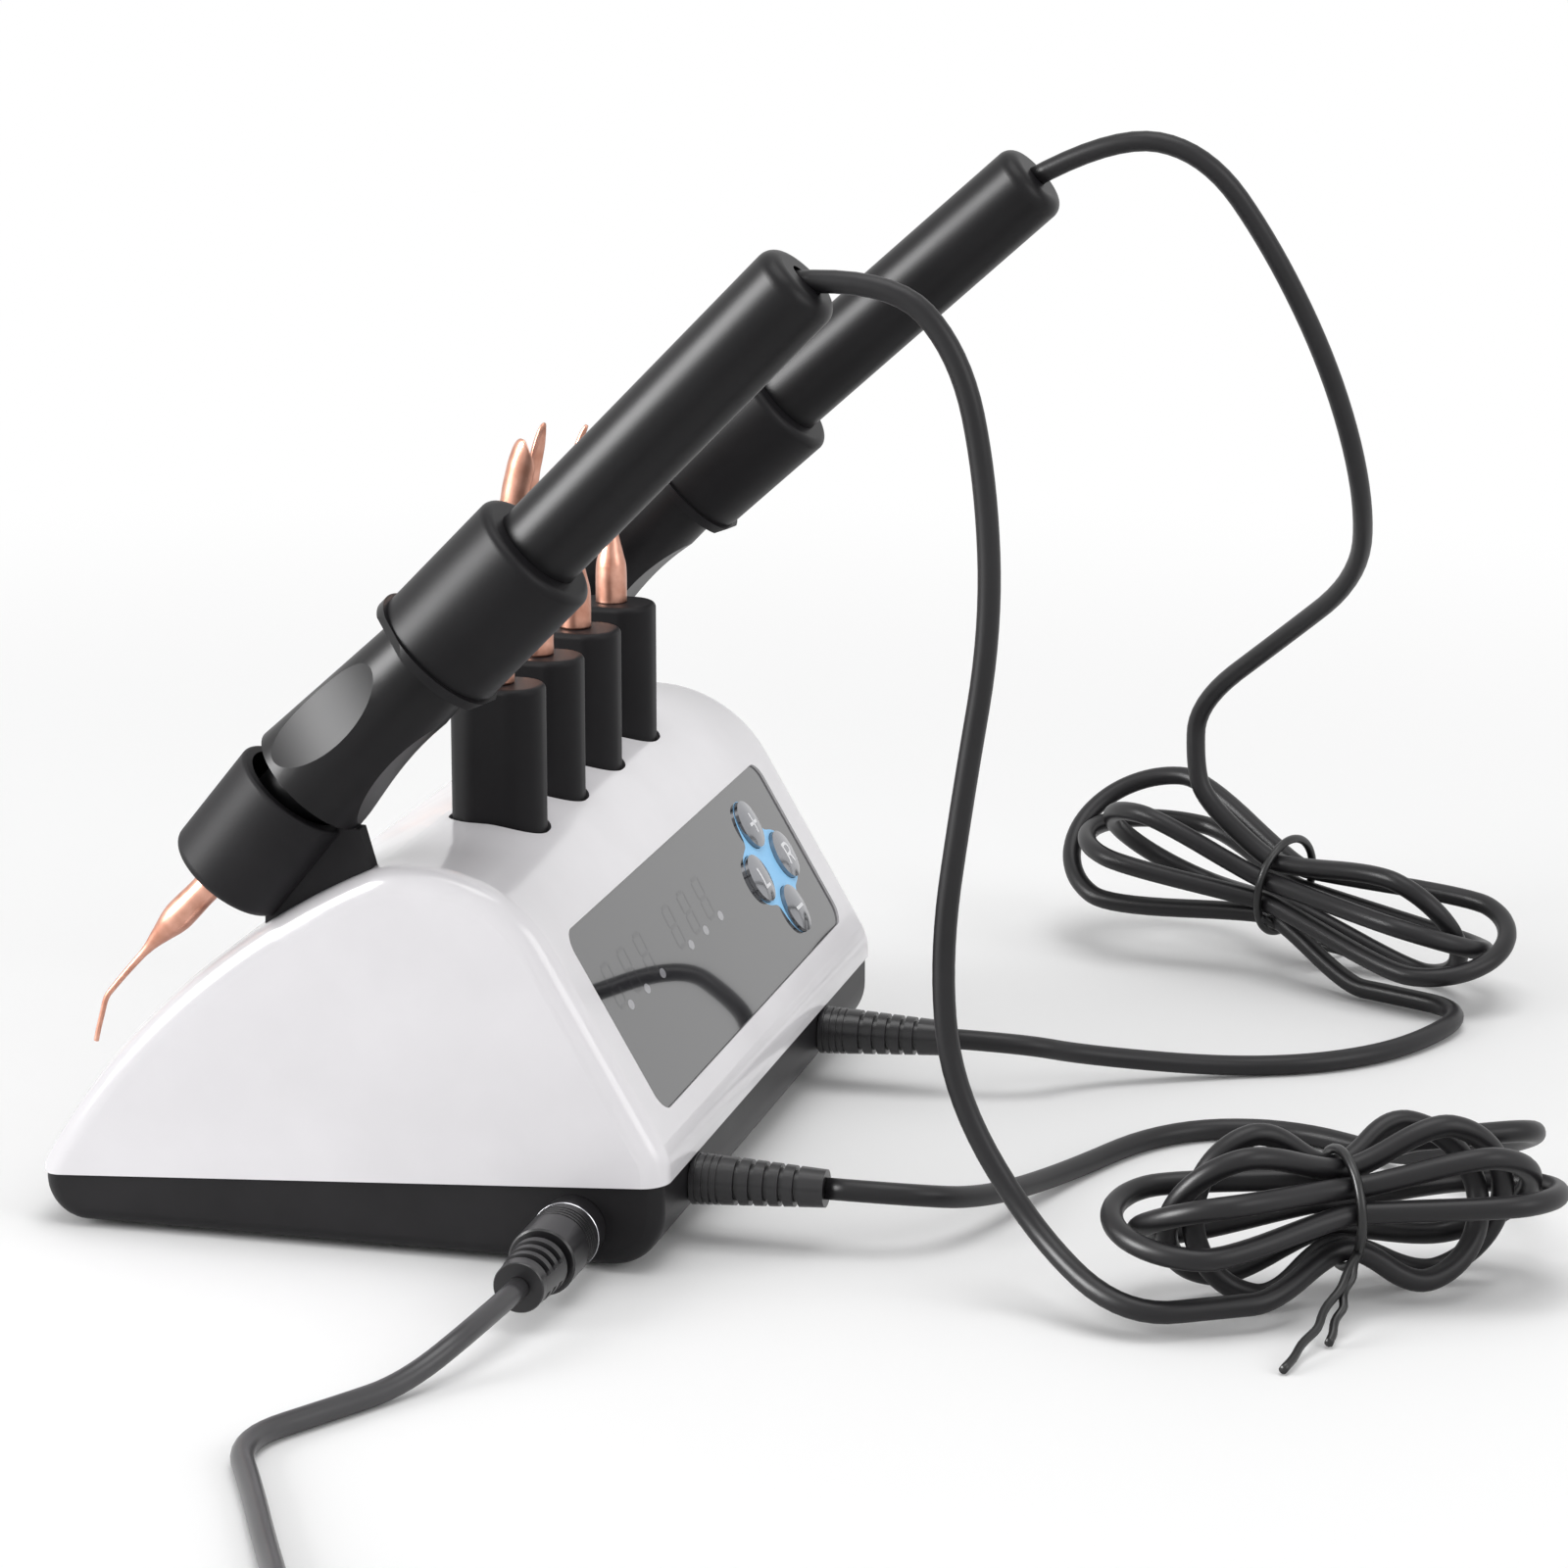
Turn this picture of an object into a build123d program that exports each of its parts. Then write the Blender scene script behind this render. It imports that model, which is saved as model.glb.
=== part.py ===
from build123d import *
import math
import os

import numpy as np

# Two-pen electric wax carver: station, pens, spare tips, plugs and cords.
# Millimetres. X runs along the station, -Y is the panel side, Z = 0 is the table.

os.makedirs("parts", exist_ok=True)

# Station sizes
station_w = 142.0
station_d = 106.5
crest_z = 64.5
foot_gap = 1.0
wall = 2.2
end_round = 4.0
half_w = station_w / 2
half_d = station_d / 2

# Side outline of the shell
front_angle = math.radians(60)
front_corner_y = -27.0
front_round = 24.0
knee_round = 9.0
crest_back_y = -6.9
crest_back_round = 12.0
back_knee_z = 10.3
back_knee_round = 6.0
back_arc_r = 125.7
knee_z = crest_z - (front_corner_y + half_d) * math.tan(front_angle)

# Parting line and base
split_z = 12.0
split_fall = 0.0582
base_reveal = 0.7
base_end_round = 2.5
base_front_round = 9.0
base_back_round = 7.0
base_blank_z = 20.0
floor_z = foot_gap + wall
base_half_w = half_w - base_reveal
base_half_d = half_d - base_reveal

# Panel on the front slope: u runs along X, v up the slope, depth inward
panel_down = 30.1
window_side = 11.15
window_w = station_w - 2 * window_side
window_h = 32.7
window_r = 3.5
window_t = 1.0
window_recess = 0.4
window_gap = 0.15
window_ledge = 2.0
pocket_depth = window_recess + window_t

# Push buttons
button_d = 9.0
button_gap = 0.1
button_flange_d = 10.8
button_flange_t = 0.8
button_edge = 0.35
button_crown = 0.9
button_stem_d = 3.4
button_stem_end = 5.0
star_from_end = 19.05
star_u = window_w / 2 - star_from_end
button_places = {
    "plus_button": (star_u, 8.5),
    "right_button": (star_u + 8.6, 0.0),
    "left_button": (star_u - 8.8, 0.0),
    "minus_button": (star_u, -8.6),
}

# Panel board with displays and key switches
board_t = 1.6
front_board_gap = 4.8
front_board_w = station_w - 2 * (wall + front_board_gap)
front_board_h = 36.0
front_board_depth = 7.9
board_boss_d = 5.0
front_boss_inset = 3.0
front_boss_u = front_board_w / 2 - front_boss_inset
front_boss_v = 15.0
display_w = 31.0
display_h = 14.0
display_gap = 0.2
display_v = 5.0
display_from_end = 17.85
display_pitch = 36.0
display_u = {
    "left_display": display_from_end - window_w / 2,
    "right_display": display_from_end + display_pitch - window_w / 2,
}
switch_w = 6.0
switch_h = 4.3
switch_well_d = 3.8
switch_well_depth = 2.2

# Screws
small_screw_d = 2.5
small_screw_len = 5.0
small_head_d = 4.6
small_head_h = 1.8
big_screw_d = 3.0
big_screw_len = 16.0
big_head_d = 5.5
big_head_h = 2.5
thread_gap = 0.03

# Housing screw columns
column_d = 7.0
post_d = 8.0
column_inset = 11.0
column_x = half_w - column_inset
column_ys = (-19.0, 35.0)
counterbore_d = 6.0
counterbore_top = 6.0

# Rubber feet
foot_d = 10.0
foot_recess = 1.0
foot_fit = 0.1
foot_inset = 25.0
foot_x = half_w - foot_inset
foot_y_off = 36.0
foot_places = [(x, y) for y in (-foot_y_off, foot_y_off) for x in (-foot_x, foot_x)]

# Board behind the jacks
jack_board_z = 5.3
jack_board_inset = 3.5
jack_board_x0 = jack_board_inset - half_w
jack_board_x1 = 50.0
jack_board_y0 = -47.5
jack_board_y1 = -27.5
jack_board_posts = [(-36.0, -31.0), (36.0, -31.0), (-20.0, -43.0), (20.0, -43.0)]
jack_post_hole_floor = 0.8
transistor_xs = (0.0, 12.0)
transistor_y = -37.0
transistor_w = 6.5
transistor_l = 10.0
transistor_h = 2.3
ribbon_w = 12.0
ribbon_t = 0.9
ribbon_y = -30.0
ribbon_bend = 3.0

# Supply jack and plug
dc_y = -38.1
dc_z = 7.5
dc_hole_d = 7.0
dc_jack_w = 8.4
dc_jack_gap = 0.1
dc_jack_x0 = dc_jack_gap + wall - base_half_w
dc_jack_len = 11.4
dc_jack_ear_w = 12.4
dc_jack_ear_t = 1.0
dc_jack_ear_inset = 2.0
dc_jack_notch_gap = 0.3
dc_bore_d = 5.7
dc_bore_len = 10.8
dc_pin_d = 2.0
dc_pin_len = 9.0
dc_sleeve_d = 5.5
dc_sleeve_bore = 2.5
dc_sleeve_len = 12.0
dc_barrel_d = 11.0
dc_barrel_len = 14.0
dc_neck_d = 7.4
dc_neck_len = 1.2
dc_relief_len = 12.0
dc_relief_d0 = 9.4
dc_relief_d1 = 7.0
dc_flange_d = 8.0
dc_flange_len = 2.8
dc_cord_d = 3.5
groove_w = 0.5
groove_depth = 0.3
dc_groove_start = 3.6
groove_pitch = 1.2
groove_count = 4
slot_pitch = 2.6
slot_w = 1.2
slot_depth = 0.9

# Pen jacks and pen plugs
pen_plug_inset = {"left": 20.0, "right": 36.0}
pen_plug_xs = {"left": pen_plug_inset["left"] - half_w, "right": half_w - pen_plug_inset["right"]}
pen_plug_z = 10.6
pen_hole_d = 7.4
pen_jack_w = 7.6
pen_jack_len = 14.0
pen_jack_y0 = -49.3
pen_plug_face_gap = 0.2
pen_plug_nose_d = 7.0
pen_plug_pin_d = 3.5
pen_plug_pin_len = 12.0
pen_pin_fit = 0.05
pen_plug_len = 22.0
pen_plug_root_d = 8.6
pen_plug_end_d = 6.2
pen_groove_start = 0.8
rib_start = 7.2
rib_pitch = 2.45
rib_gap = 0.8
rib_depth = 0.75
rib_count = 5

# Pegs for the spare tips
peg_pitch = 22.05
peg_xs = [(i - 1.5) * peg_pitch for i in range(4)]
peg_y = -14.8
peg_w = 11.4
peg_l = 15.6
peg_r = 5.2
peg_top = 86.8
peg_top_round = 1.0
peg_slot_gap = 0.6
peg_flange_w = 14.5
peg_flange_l = 18.5
peg_flange_r = 6.6
peg_flange_t = 1.5
peg_hole_d = 5.0
peg_hole_floor = 64.0
pad_z = 59.0
pad_w = 90.0
pad_y0 = -26.0
pad_y1 = -3.0
plate_t = 1.5
plate_screw_x = peg_pitch

# Metal tips
tip_d = 4.8
tip_bulge_d = 5.5
tip_bulge_len = 1.8
tip_taper_len = 9.5
tip_neck_d = 1.4
tip_end_d = 1.1
spare_reach = {"spare_tip_1": 41.0, "spare_tip_2": 39.0, "spare_tip_3": 34.0, "spare_tip_4": 34.0}
blade_len = 7.0
blade_w = {"spare_tip_1": 3.4, "spare_tip_2": 2.6, "spare_tip_3": 0.0, "spare_tip_4": 0.0}
blade_t = 0.6

# Pens: w is measured along the axis from the shoulder to the rear
pen_inset = 6.2
pen_x = half_w - pen_inset
left_lean = 45.9
left_shoulder = (6.28, 76.82)
right_lean = 42.0
right_shoulder = (2.4, 82.3)
nose_len = 17.0
nose_d0 = 12.0
nose_d1 = 12.6
shoulder_d = 21.0
barrel_len = 29.7
barrel_d = 16.8
flange_d = 23.5
flange_t = 1.6
spigot_len = 10.0
spigot_d = 11.4
sleeve_d = 21.9
sleeve_end = 54.8
sleeve_round = 1.5
handle_d = 14.5
handle_bore = 11.5
handle_end = 116.0
handle_cap = 5.0
handle_round = 2.6
handle_fit = 0.05
wire_bore = 6.0
heater_d = 7.0
heater_fit = 0.1
socket_d = 8.0
socket_len = 12.0
socket_fit = 0.05
tip_insert = 8.0
heater_len = 22.0
scoop_r = 40.0
scoop_depth = 1.5
scoop_w = 15.0
scoop_len = 30.0
scoop_angles = (35.0, 155.0, 275.0)
pen_tip_straight = 12.0
pen_tip_taper = 10.0
pen_tip_bulge_d = 5.1
pen_tip_bend = 53.0
pen_tip_bend_off = 1.0
pen_tip_reach = 60.0
pen_tip_end_off = 4.7
pen_tip_wire_d = 1.3
pen_tip_bend_r = 5.0

# Cradles
cup_lean = 51.2
cup_rim = (9.0, 75.2)
cup_d = 20.4
cup_bore = 17.0
cup_len = 19.5
cup_floor_t = 2.0
cup_hole_d = 13.5
cup_rim_round = 0.7
cup_foot_round = 1.6
web_t = 3.2
web_line = [(14.5, 48.5), (-6.5, 60.0), (-3.9, 62.9), (-2.0, 69.5), (2.0, 69.6), (14.2, 54.6)]
foot_angle = math.radians(61.05)
tenon_w = 2.4
tenon_l = 12.0
tenon_fit = 0.1
tenon_root = 1.0
washer_d = 7.4
washer_t = 0.8
washer_lift = 0.09
cradle_screw_d = 1.6
cradle_screw_reach = 4.0
cradle_head_d = 3.8
cradle_head_h = 1.6

# Cords
pen_cord_d = 3.6
cord_exit_tilt = {"left": 40.0, "right": 12.0}
cord_seat = 2.0
bend_share = 0.45
hank_waist_r = 6.6
hank_waist_half = 2.5
hank_turn = 36.0
hank_step = 4.2
tie_wire_r = 0.8
tie_gap = 0.05
dc_coil_off = 169.0
dc_coil_centre = (-half_w - dc_coil_off, -66.0)
dc_coil_r = 26.0
dc_coil_step = 4.0
dc_coil_turns = 4
dc_coil_z = 2.75
dc_coil_layer = 4.1
dc_coil_tail = 32.0
strap_t = 0.8
strap_w = 3.0
strap_gap = 0.3
strap_r = 2.0
strap_z0 = 0.0
strap_z1 = dc_coil_z + dc_coil_layer + dc_cord_d / 2 + strap_gap + strap_t
dc_first = 16.0
dc_last = 24.0
dc_turns = [
    Vector(-half_w - 62.0, -29.5, 1.85),
    Vector(-half_w - 87.0, -18.5, 1.85),
    Vector(-half_w - 115.0, -28.0, 1.85),
]

# Power adapter
adapter_l = 72.0
adapter_w = 44.0
adapter_h = 28.0
adapter_round = 4.0
prong_l = 17.0
prong_w = 6.35
prong_t = 1.5
prong_pitch = 12.7
prong_seat = 4.0
prong_inset = 22.0

names = []


def keep(part, name):
    part.label = name
    export_step(part, f"parts/{name}.step")
    names.append(name)


# Planes used by more than one piece
slope_n = Vector(0, -math.sin(front_angle), math.cos(front_angle))
slope_up = Vector(0, math.cos(front_angle), math.sin(front_angle))
slope_corner = Vector(0, front_corner_y, crest_z)
slope_centre = slope_corner - slope_up * panel_down
slope = Plane(origin=slope_centre, x_dir=(1, 0, 0), z_dir=slope_n)
split_plane = Plane(origin=(0, 0, split_z), x_dir=(1, 0, 0), z_dir=(0, split_fall, 1))


def on_slope(u, v, depth):
    return slope_centre + Vector(u, 0, 0) + slope_up * v - slope_n * depth


# Circle of the arched back, for the outline and the cradle feet
arc_a = Vector(half_d, back_knee_z)
arc_b = Vector(crest_back_y, crest_z)
arc_mid = (arc_a + arc_b) * 0.5
arc_chord = (arc_b - arc_a).length
arc_out = Vector(-(arc_b - arc_a).Y, (arc_b - arc_a).X) * (-1 / arc_chord)
arc_drop = math.sqrt(back_arc_r ** 2 - (arc_chord / 2) ** 2)
arc_centre = arc_mid - arc_out * arc_drop
arc_top = arc_centre + arc_out * back_arc_r

foot_n = Vector(0, math.cos(foot_angle), math.sin(foot_angle))
foot_y = arc_centre.X + back_arc_r * math.cos(foot_angle)
foot_z = arc_centre.Y + back_arc_r * math.sin(foot_angle)


def outline():
    Polyline(
        (half_d, back_knee_z),
        (half_d, foot_gap),
        (-half_d, foot_gap),
        (-half_d, knee_z),
        (front_corner_y, crest_z),
        (crest_back_y, crest_z),
    )
    ThreePointArc((crest_back_y, crest_z), (arc_top.X, arc_top.Y), (half_d, back_knee_z))


outline_rounds = [
    ((front_corner_y, crest_z), front_round),
    ((crest_back_y, crest_z), crest_back_round),
    ((-half_d, knee_z), knee_round),
    ((half_d, back_knee_z), back_knee_round),
]


# Outer form of the shell, closed below the parting line
with BuildPart() as shell_blank:
    with BuildSketch(Plane.YZ) as side:
        with BuildLine():
            outline()
        make_face()
        for corner, radius in outline_rounds:
            fillet(side.vertices().sort_by_distance(corner)[0], radius)
    extrude(amount=half_w, both=True)
    end_edges = shell_blank.faces().filter_by(Axis.X).edges()
    fillet(end_edges.filter_by(lambda e: e.center().Z > foot_gap + wall), end_round)

# Hollow of the shell, with the bosses and the peg pad left standing
with BuildPart() as shell_hollow:
    with BuildSketch(Plane.YZ) as side:
        with BuildLine():
            outline()
        make_face()
        for corner, radius in outline_rounds:
            fillet(side.vertices().sort_by_distance(corner)[0], radius)
        offset(amount=-wall, mode=Mode.REPLACE)
    extrude(amount=half_w - wall, both=True)
    with BuildSketch(Plane.XY):
        for y in column_ys:
            with Locations((-column_x, y), (column_x, y)):
                Circle(column_d / 2)
    extrude(amount=crest_z, mode=Mode.SUBTRACT)
    with BuildSketch(slope.offset(-front_board_depth)):
        with GridLocations(2 * front_boss_u, 2 * front_boss_v, 2, 2):
            Circle(board_boss_d / 2)
    extrude(amount=front_board_depth, mode=Mode.SUBTRACT)
    with BuildSketch(Plane.XY.offset(pad_z)):
        with Locations((0, (pad_y0 + pad_y1) / 2)):
            Rectangle(pad_w, pad_y1 - pad_y0)
    extrude(amount=crest_z - pad_z, mode=Mode.SUBTRACT)
    with BuildSketch(Plane.XY.offset(pad_z - peg_flange_t)):
        with Locations((-plate_screw_x, peg_y), (plate_screw_x, peg_y)):
            Circle(board_boss_d / 2)
    extrude(amount=peg_flange_t, mode=Mode.SUBTRACT)

# Upper shell
with BuildPart() as upper_housing:
    add(shell_blank.part)
    add(shell_hollow.part, mode=Mode.SUBTRACT)
    split(bisect_by=split_plane, keep=Keep.TOP)
    with BuildSketch(slope):
        RectangleRounded(window_w + 2 * window_gap, window_h + 2 * window_gap, window_r + window_gap)
    extrude(amount=-pocket_depth, mode=Mode.SUBTRACT)
    with BuildSketch(slope):
        RectangleRounded(window_w - 2 * window_ledge, window_h - 2 * window_ledge, window_r - window_ledge)
    extrude(amount=-(wall + window_t), mode=Mode.SUBTRACT)
    with BuildSketch(Plane.XY.offset(pad_z)):
        with Locations(*[(x, peg_y) for x in peg_xs]):
            RectangleRounded(peg_w + 2 * peg_slot_gap, peg_l + 2 * peg_slot_gap, peg_r + peg_slot_gap)
    extrude(amount=crest_z - pad_z + wall, mode=Mode.SUBTRACT)
    with BuildSketch(slope.offset(-front_board_depth)):
        with GridLocations(2 * front_boss_u, 2 * front_boss_v, 2, 2):
            Circle(small_screw_d / 2 + thread_gap)
    extrude(amount=small_screw_len - board_t, mode=Mode.SUBTRACT)
    with BuildSketch(Plane.XY.offset(pad_z - peg_flange_t)):
        with Locations((-plate_screw_x, peg_y), (plate_screw_x, peg_y)):
            Circle(small_screw_d / 2 + thread_gap)
    extrude(amount=small_screw_len - plate_t, mode=Mode.SUBTRACT)
    with BuildSketch(Plane.XY):
        for y in column_ys:
            with Locations((-column_x, y), (column_x, y)):
                Circle(big_screw_d / 2 + thread_gap)
    extrude(amount=counterbore_top + big_screw_len, mode=Mode.SUBTRACT)
    for sx in (-1, 1):
        foot_plane = Plane(origin=(sx * pen_x, foot_y, foot_z), x_dir=(1, 0, 0), z_dir=foot_n)
        with BuildSketch(foot_plane):
            Rectangle(tenon_w + 2 * tenon_fit, tenon_l + 2 * tenon_fit)
        extrude(amount=2 * wall, both=True, mode=Mode.SUBTRACT)
keep(upper_housing.part, "upper_housing")

# Base tray
with BuildPart() as base_tray:
    with BuildSketch(Plane.YZ) as side:
        with BuildLine():
            Polyline(
                (-base_half_d, foot_gap),
                (base_half_d, foot_gap),
                (base_half_d, base_blank_z),
                (-base_half_d, base_blank_z),
                close=True,
            )
        make_face()
        fillet(side.vertices().sort_by_distance((-base_half_d, foot_gap))[0], base_front_round)
        fillet(side.vertices().sort_by_distance((base_half_d, foot_gap))[0], base_back_round)
    extrude(amount=base_half_w, both=True)
    end_edges = base_tray.faces().filter_by(Axis.X).edges()
    fillet(end_edges.filter_by(lambda e: e.center().Z < base_blank_z - wall), base_end_round)
    with BuildSketch(Plane.YZ) as side:
        with BuildLine():
            Polyline(
                (-base_half_d + wall, floor_z),
                (base_half_d - wall, floor_z),
                (base_half_d - wall, base_blank_z),
                (-base_half_d + wall, base_blank_z),
                close=True,
            )
        make_face()
        fillet(side.vertices().sort_by_distance((-base_half_d + wall, floor_z))[0], base_front_round - wall)
        fillet(side.vertices().sort_by_distance((base_half_d - wall, floor_z))[0], base_back_round - wall)
    extrude(amount=base_half_w - wall, both=True, mode=Mode.SUBTRACT)
    with BuildSketch(Plane.XY.offset(floor_z)):
        for y in column_ys:
            with Locations((-column_x, y), (column_x, y)):
                Circle(post_d / 2)
    extrude(amount=base_blank_z - floor_z)
    with BuildSketch(Plane.XY.offset(floor_z)):
        with Locations(*jack_board_posts):
            Circle(board_boss_d / 2)
    extrude(amount=jack_board_z - floor_z)
    split(bisect_by=split_plane, keep=Keep.BOTTOM)
    with BuildSketch(Plane.XY):
        for y in column_ys:
            with Locations((-column_x, y), (column_x, y)):
                Circle(counterbore_d / 2)
    extrude(amount=counterbore_top, mode=Mode.SUBTRACT)
    with BuildSketch(Plane.XY):
        for y in column_ys:
            with Locations((-column_x, y), (column_x, y)):
                Circle(big_screw_d / 2 + thread_gap)
    extrude(amount=base_blank_z, mode=Mode.SUBTRACT)
    with BuildSketch(Plane.XY):
        with Locations(*foot_places):
            Circle(foot_d / 2 + foot_fit)
    extrude(amount=foot_gap + foot_recess, mode=Mode.SUBTRACT)
    with BuildSketch(Plane.XY.offset(foot_gap + jack_post_hole_floor)):
        with Locations(*jack_board_posts):
            Circle(small_screw_d / 2 + thread_gap)
    extrude(amount=jack_board_z, mode=Mode.SUBTRACT)
    with BuildSketch(Plane.XZ.offset(base_half_d)):
        for x in pen_plug_xs.values():
            with Locations((x, pen_plug_z)):
                Circle(pen_hole_d / 2)
    extrude(amount=-(wall + base_front_round / 2), mode=Mode.SUBTRACT)
    with BuildSketch(Plane.YZ.offset(-base_half_w)):
        with Locations((dc_y, dc_z)):
            Circle(dc_hole_d / 2)
    extrude(amount=2 * wall, mode=Mode.SUBTRACT)
keep(base_tray.part, "base_tray")

# Window over the displays, with a hole for each button
with BuildPart() as panel_window:
    with BuildSketch(slope.offset(-pocket_depth)):
        RectangleRounded(window_w, window_h, window_r)
        with Locations(*button_places.values()):
            Circle(button_d / 2 + button_gap, mode=Mode.SUBTRACT)
    extrude(amount=window_t)
keep(panel_window.part, "panel_window")

# Push buttons: crowned cap, flange under the window, stem in the switch
for name, (u, v) in button_places.items():
    centre = on_slope(u, v, 0)
    half_plane = Plane(origin=centre, x_dir=(1, 0, 0), z_dir=Vector(1, 0, 0).cross(slope_n))
    with BuildPart() as button:
        with BuildSketch(half_plane):
            with BuildLine():
                Polyline(
                    (0, button_crown),
                    (0, -button_stem_end),
                    (button_stem_d / 2, -button_stem_end),
                    (button_stem_d / 2, -pocket_depth - button_flange_t),
                    (button_flange_d / 2, -pocket_depth - button_flange_t),
                    (button_flange_d / 2, -pocket_depth),
                    (button_d / 2, -pocket_depth),
                    (button_d / 2, button_edge),
                )
                TangentArc(
                    (0, button_crown),
                    (button_d / 2, button_edge),
                    tangent=(1, 0),
                )
            make_face()
        revolve(axis=Axis(centre, slope_n))
    keep(button.part, name)

# Panel board
with BuildPart() as front_board:
    with BuildSketch(slope.offset(-front_board_depth - board_t)):
        Rectangle(front_board_w, front_board_h)
        with GridLocations(2 * front_boss_u, 2 * front_boss_v, 2, 2):
            Circle(small_screw_d / 2 + thread_gap, mode=Mode.SUBTRACT)
    extrude(amount=board_t)
keep(front_board.part, "front_board")

# Display modules
for name, u in display_u.items():
    with BuildPart() as display:
        with BuildSketch(slope.offset(-front_board_depth)):
            with Locations((u, display_v)):
                Rectangle(display_w, display_h)
        extrude(amount=front_board_depth - pocket_depth - display_gap)
    keep(display.part, name)

# Key switches, each with a well for a button's stem
with BuildPart() as key_switches:
    with BuildSketch(slope.offset(-front_board_depth)):
        with Locations(*button_places.values()):
            Rectangle(switch_w, switch_w)
    extrude(amount=switch_h)
    with BuildSketch(slope.offset(-front_board_depth + switch_h)):
        with Locations(*button_places.values()):
            Circle(switch_well_d / 2)
    extrude(amount=-switch_well_depth, mode=Mode.SUBTRACT)
keep(key_switches.part, "key_switches")

# Board behind the jacks, notched round the supply jack
with BuildPart() as jack_board:
    with BuildSketch(Plane.XY.offset(jack_board_z)):
        with Locations(((jack_board_x0 + jack_board_x1) / 2, (jack_board_y0 + jack_board_y1) / 2)):
            Rectangle(jack_board_x1 - jack_board_x0, jack_board_y1 - jack_board_y0)
        with Locations((dc_jack_x0, dc_y)):
            Rectangle(
                2 * (dc_jack_len + dc_jack_notch_gap),
                dc_jack_w + 2 * dc_jack_notch_gap,
                mode=Mode.SUBTRACT,
            )
        with Locations(*jack_board_posts):
            Circle(small_screw_d / 2 + thread_gap, mode=Mode.SUBTRACT)
    extrude(amount=board_t)
keep(jack_board.part, "jack_board")
board_top = jack_board_z + board_t

# Output transistors on that board
with BuildPart() as output_transistors:
    with BuildSketch(Plane.XY.offset(board_top)):
        with Locations(*[(x, transistor_y) for x in transistor_xs]):
            Rectangle(transistor_w, transistor_l)
    extrude(amount=transistor_h)
keep(output_transistors.part, "output_transistors")

# Ribbon cable between the two boards, square to both
ribbon_end = slope_centre - slope_n * (front_board_depth + board_t) - slope_up * (front_board_h / 3)
ribbon_run = (ribbon_y - ribbon_end.Y) / -slope_n.Y
ribbon_corner = ribbon_end - slope_n * ribbon_run
with BuildPart() as ribbon_cable:
    with BuildLine():
        FilletPolyline(
            (0, ribbon_y, board_top),
            (0, ribbon_corner.Y, ribbon_corner.Z),
            (0, ribbon_end.Y, ribbon_end.Z),
            radius=ribbon_bend,
        )
    with BuildSketch(Plane.XY.offset(board_top)):
        with Locations((0, ribbon_y)):
            Rectangle(ribbon_w, ribbon_t)
    sweep()
keep(ribbon_cable.part, "ribbon_cable")

# Supply jack: body in the notch, ears on the board, centre pin in the bore
with BuildPart() as dc_jack:
    with BuildSketch(Plane.YZ.offset(dc_jack_x0)):
        with Locations((dc_y, dc_z)):
            Rectangle(dc_jack_w, dc_jack_w)
    extrude(amount=dc_jack_len)
    with BuildSketch(Plane.YZ.offset(dc_jack_x0 + dc_jack_ear_inset)):
        with Locations((dc_y, board_top + dc_jack_ear_t / 2)):
            Rectangle(dc_jack_ear_w, dc_jack_ear_t)
    extrude(amount=dc_jack_len - 2 * dc_jack_ear_inset)
    with BuildSketch(Plane.YZ.offset(dc_jack_x0)):
        with Locations((dc_y, dc_z)):
            Circle(dc_bore_d / 2)
            Circle(dc_pin_d / 2, mode=Mode.SUBTRACT)
    extrude(amount=dc_bore_len, mode=Mode.SUBTRACT)
    with BuildSketch(Plane.YZ.offset(dc_jack_x0)):
        with Locations((dc_y, dc_z)):
            Circle(dc_pin_d)
    extrude(amount=dc_bore_len - dc_pin_len, mode=Mode.SUBTRACT)
keep(dc_jack.part, "dc_jack")

# Pen jacks
for side_name, x in pen_plug_xs.items():
    with BuildPart() as pen_jack:
        with BuildSketch(Plane.XZ.offset(-pen_jack_y0)):
            with Locations((x, pen_plug_z)):
                Rectangle(pen_jack_w, 2 * (pen_plug_z - board_top))
        extrude(amount=-pen_jack_len)
        with BuildSketch(Plane.XZ.offset(-pen_jack_y0)):
            with Locations((x, pen_plug_z)):
                Circle(pen_plug_pin_d / 2 + pen_pin_fit)
        extrude(amount=-(pen_plug_pin_len + 2 * pen_pin_fit), mode=Mode.SUBTRACT)
    keep(pen_jack.part, f"{side_name}_pen_jack")

# Rubber feet
with BuildPart() as rubber_feet:
    with BuildSketch(Plane.XY):
        with Locations(*foot_places):
            Circle(foot_d / 2)
    extrude(amount=foot_gap + foot_recess)
keep(rubber_feet.part, "rubber_feet")

# Long screws up through the base posts into the shell's columns
with BuildPart() as housing_screws:
    with BuildSketch(Plane.XY.offset(counterbore_top)):
        for y in column_ys:
            with Locations((-column_x, y), (column_x, y)):
                Circle(big_head_d / 2)
    extrude(amount=-big_head_h)
    with BuildSketch(Plane.XY.offset(counterbore_top)):
        for y in column_ys:
            with Locations((-column_x, y), (column_x, y)):
                Circle(big_screw_d / 2)
    extrude(amount=big_screw_len)
keep(housing_screws.part, "housing_screws")

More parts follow.
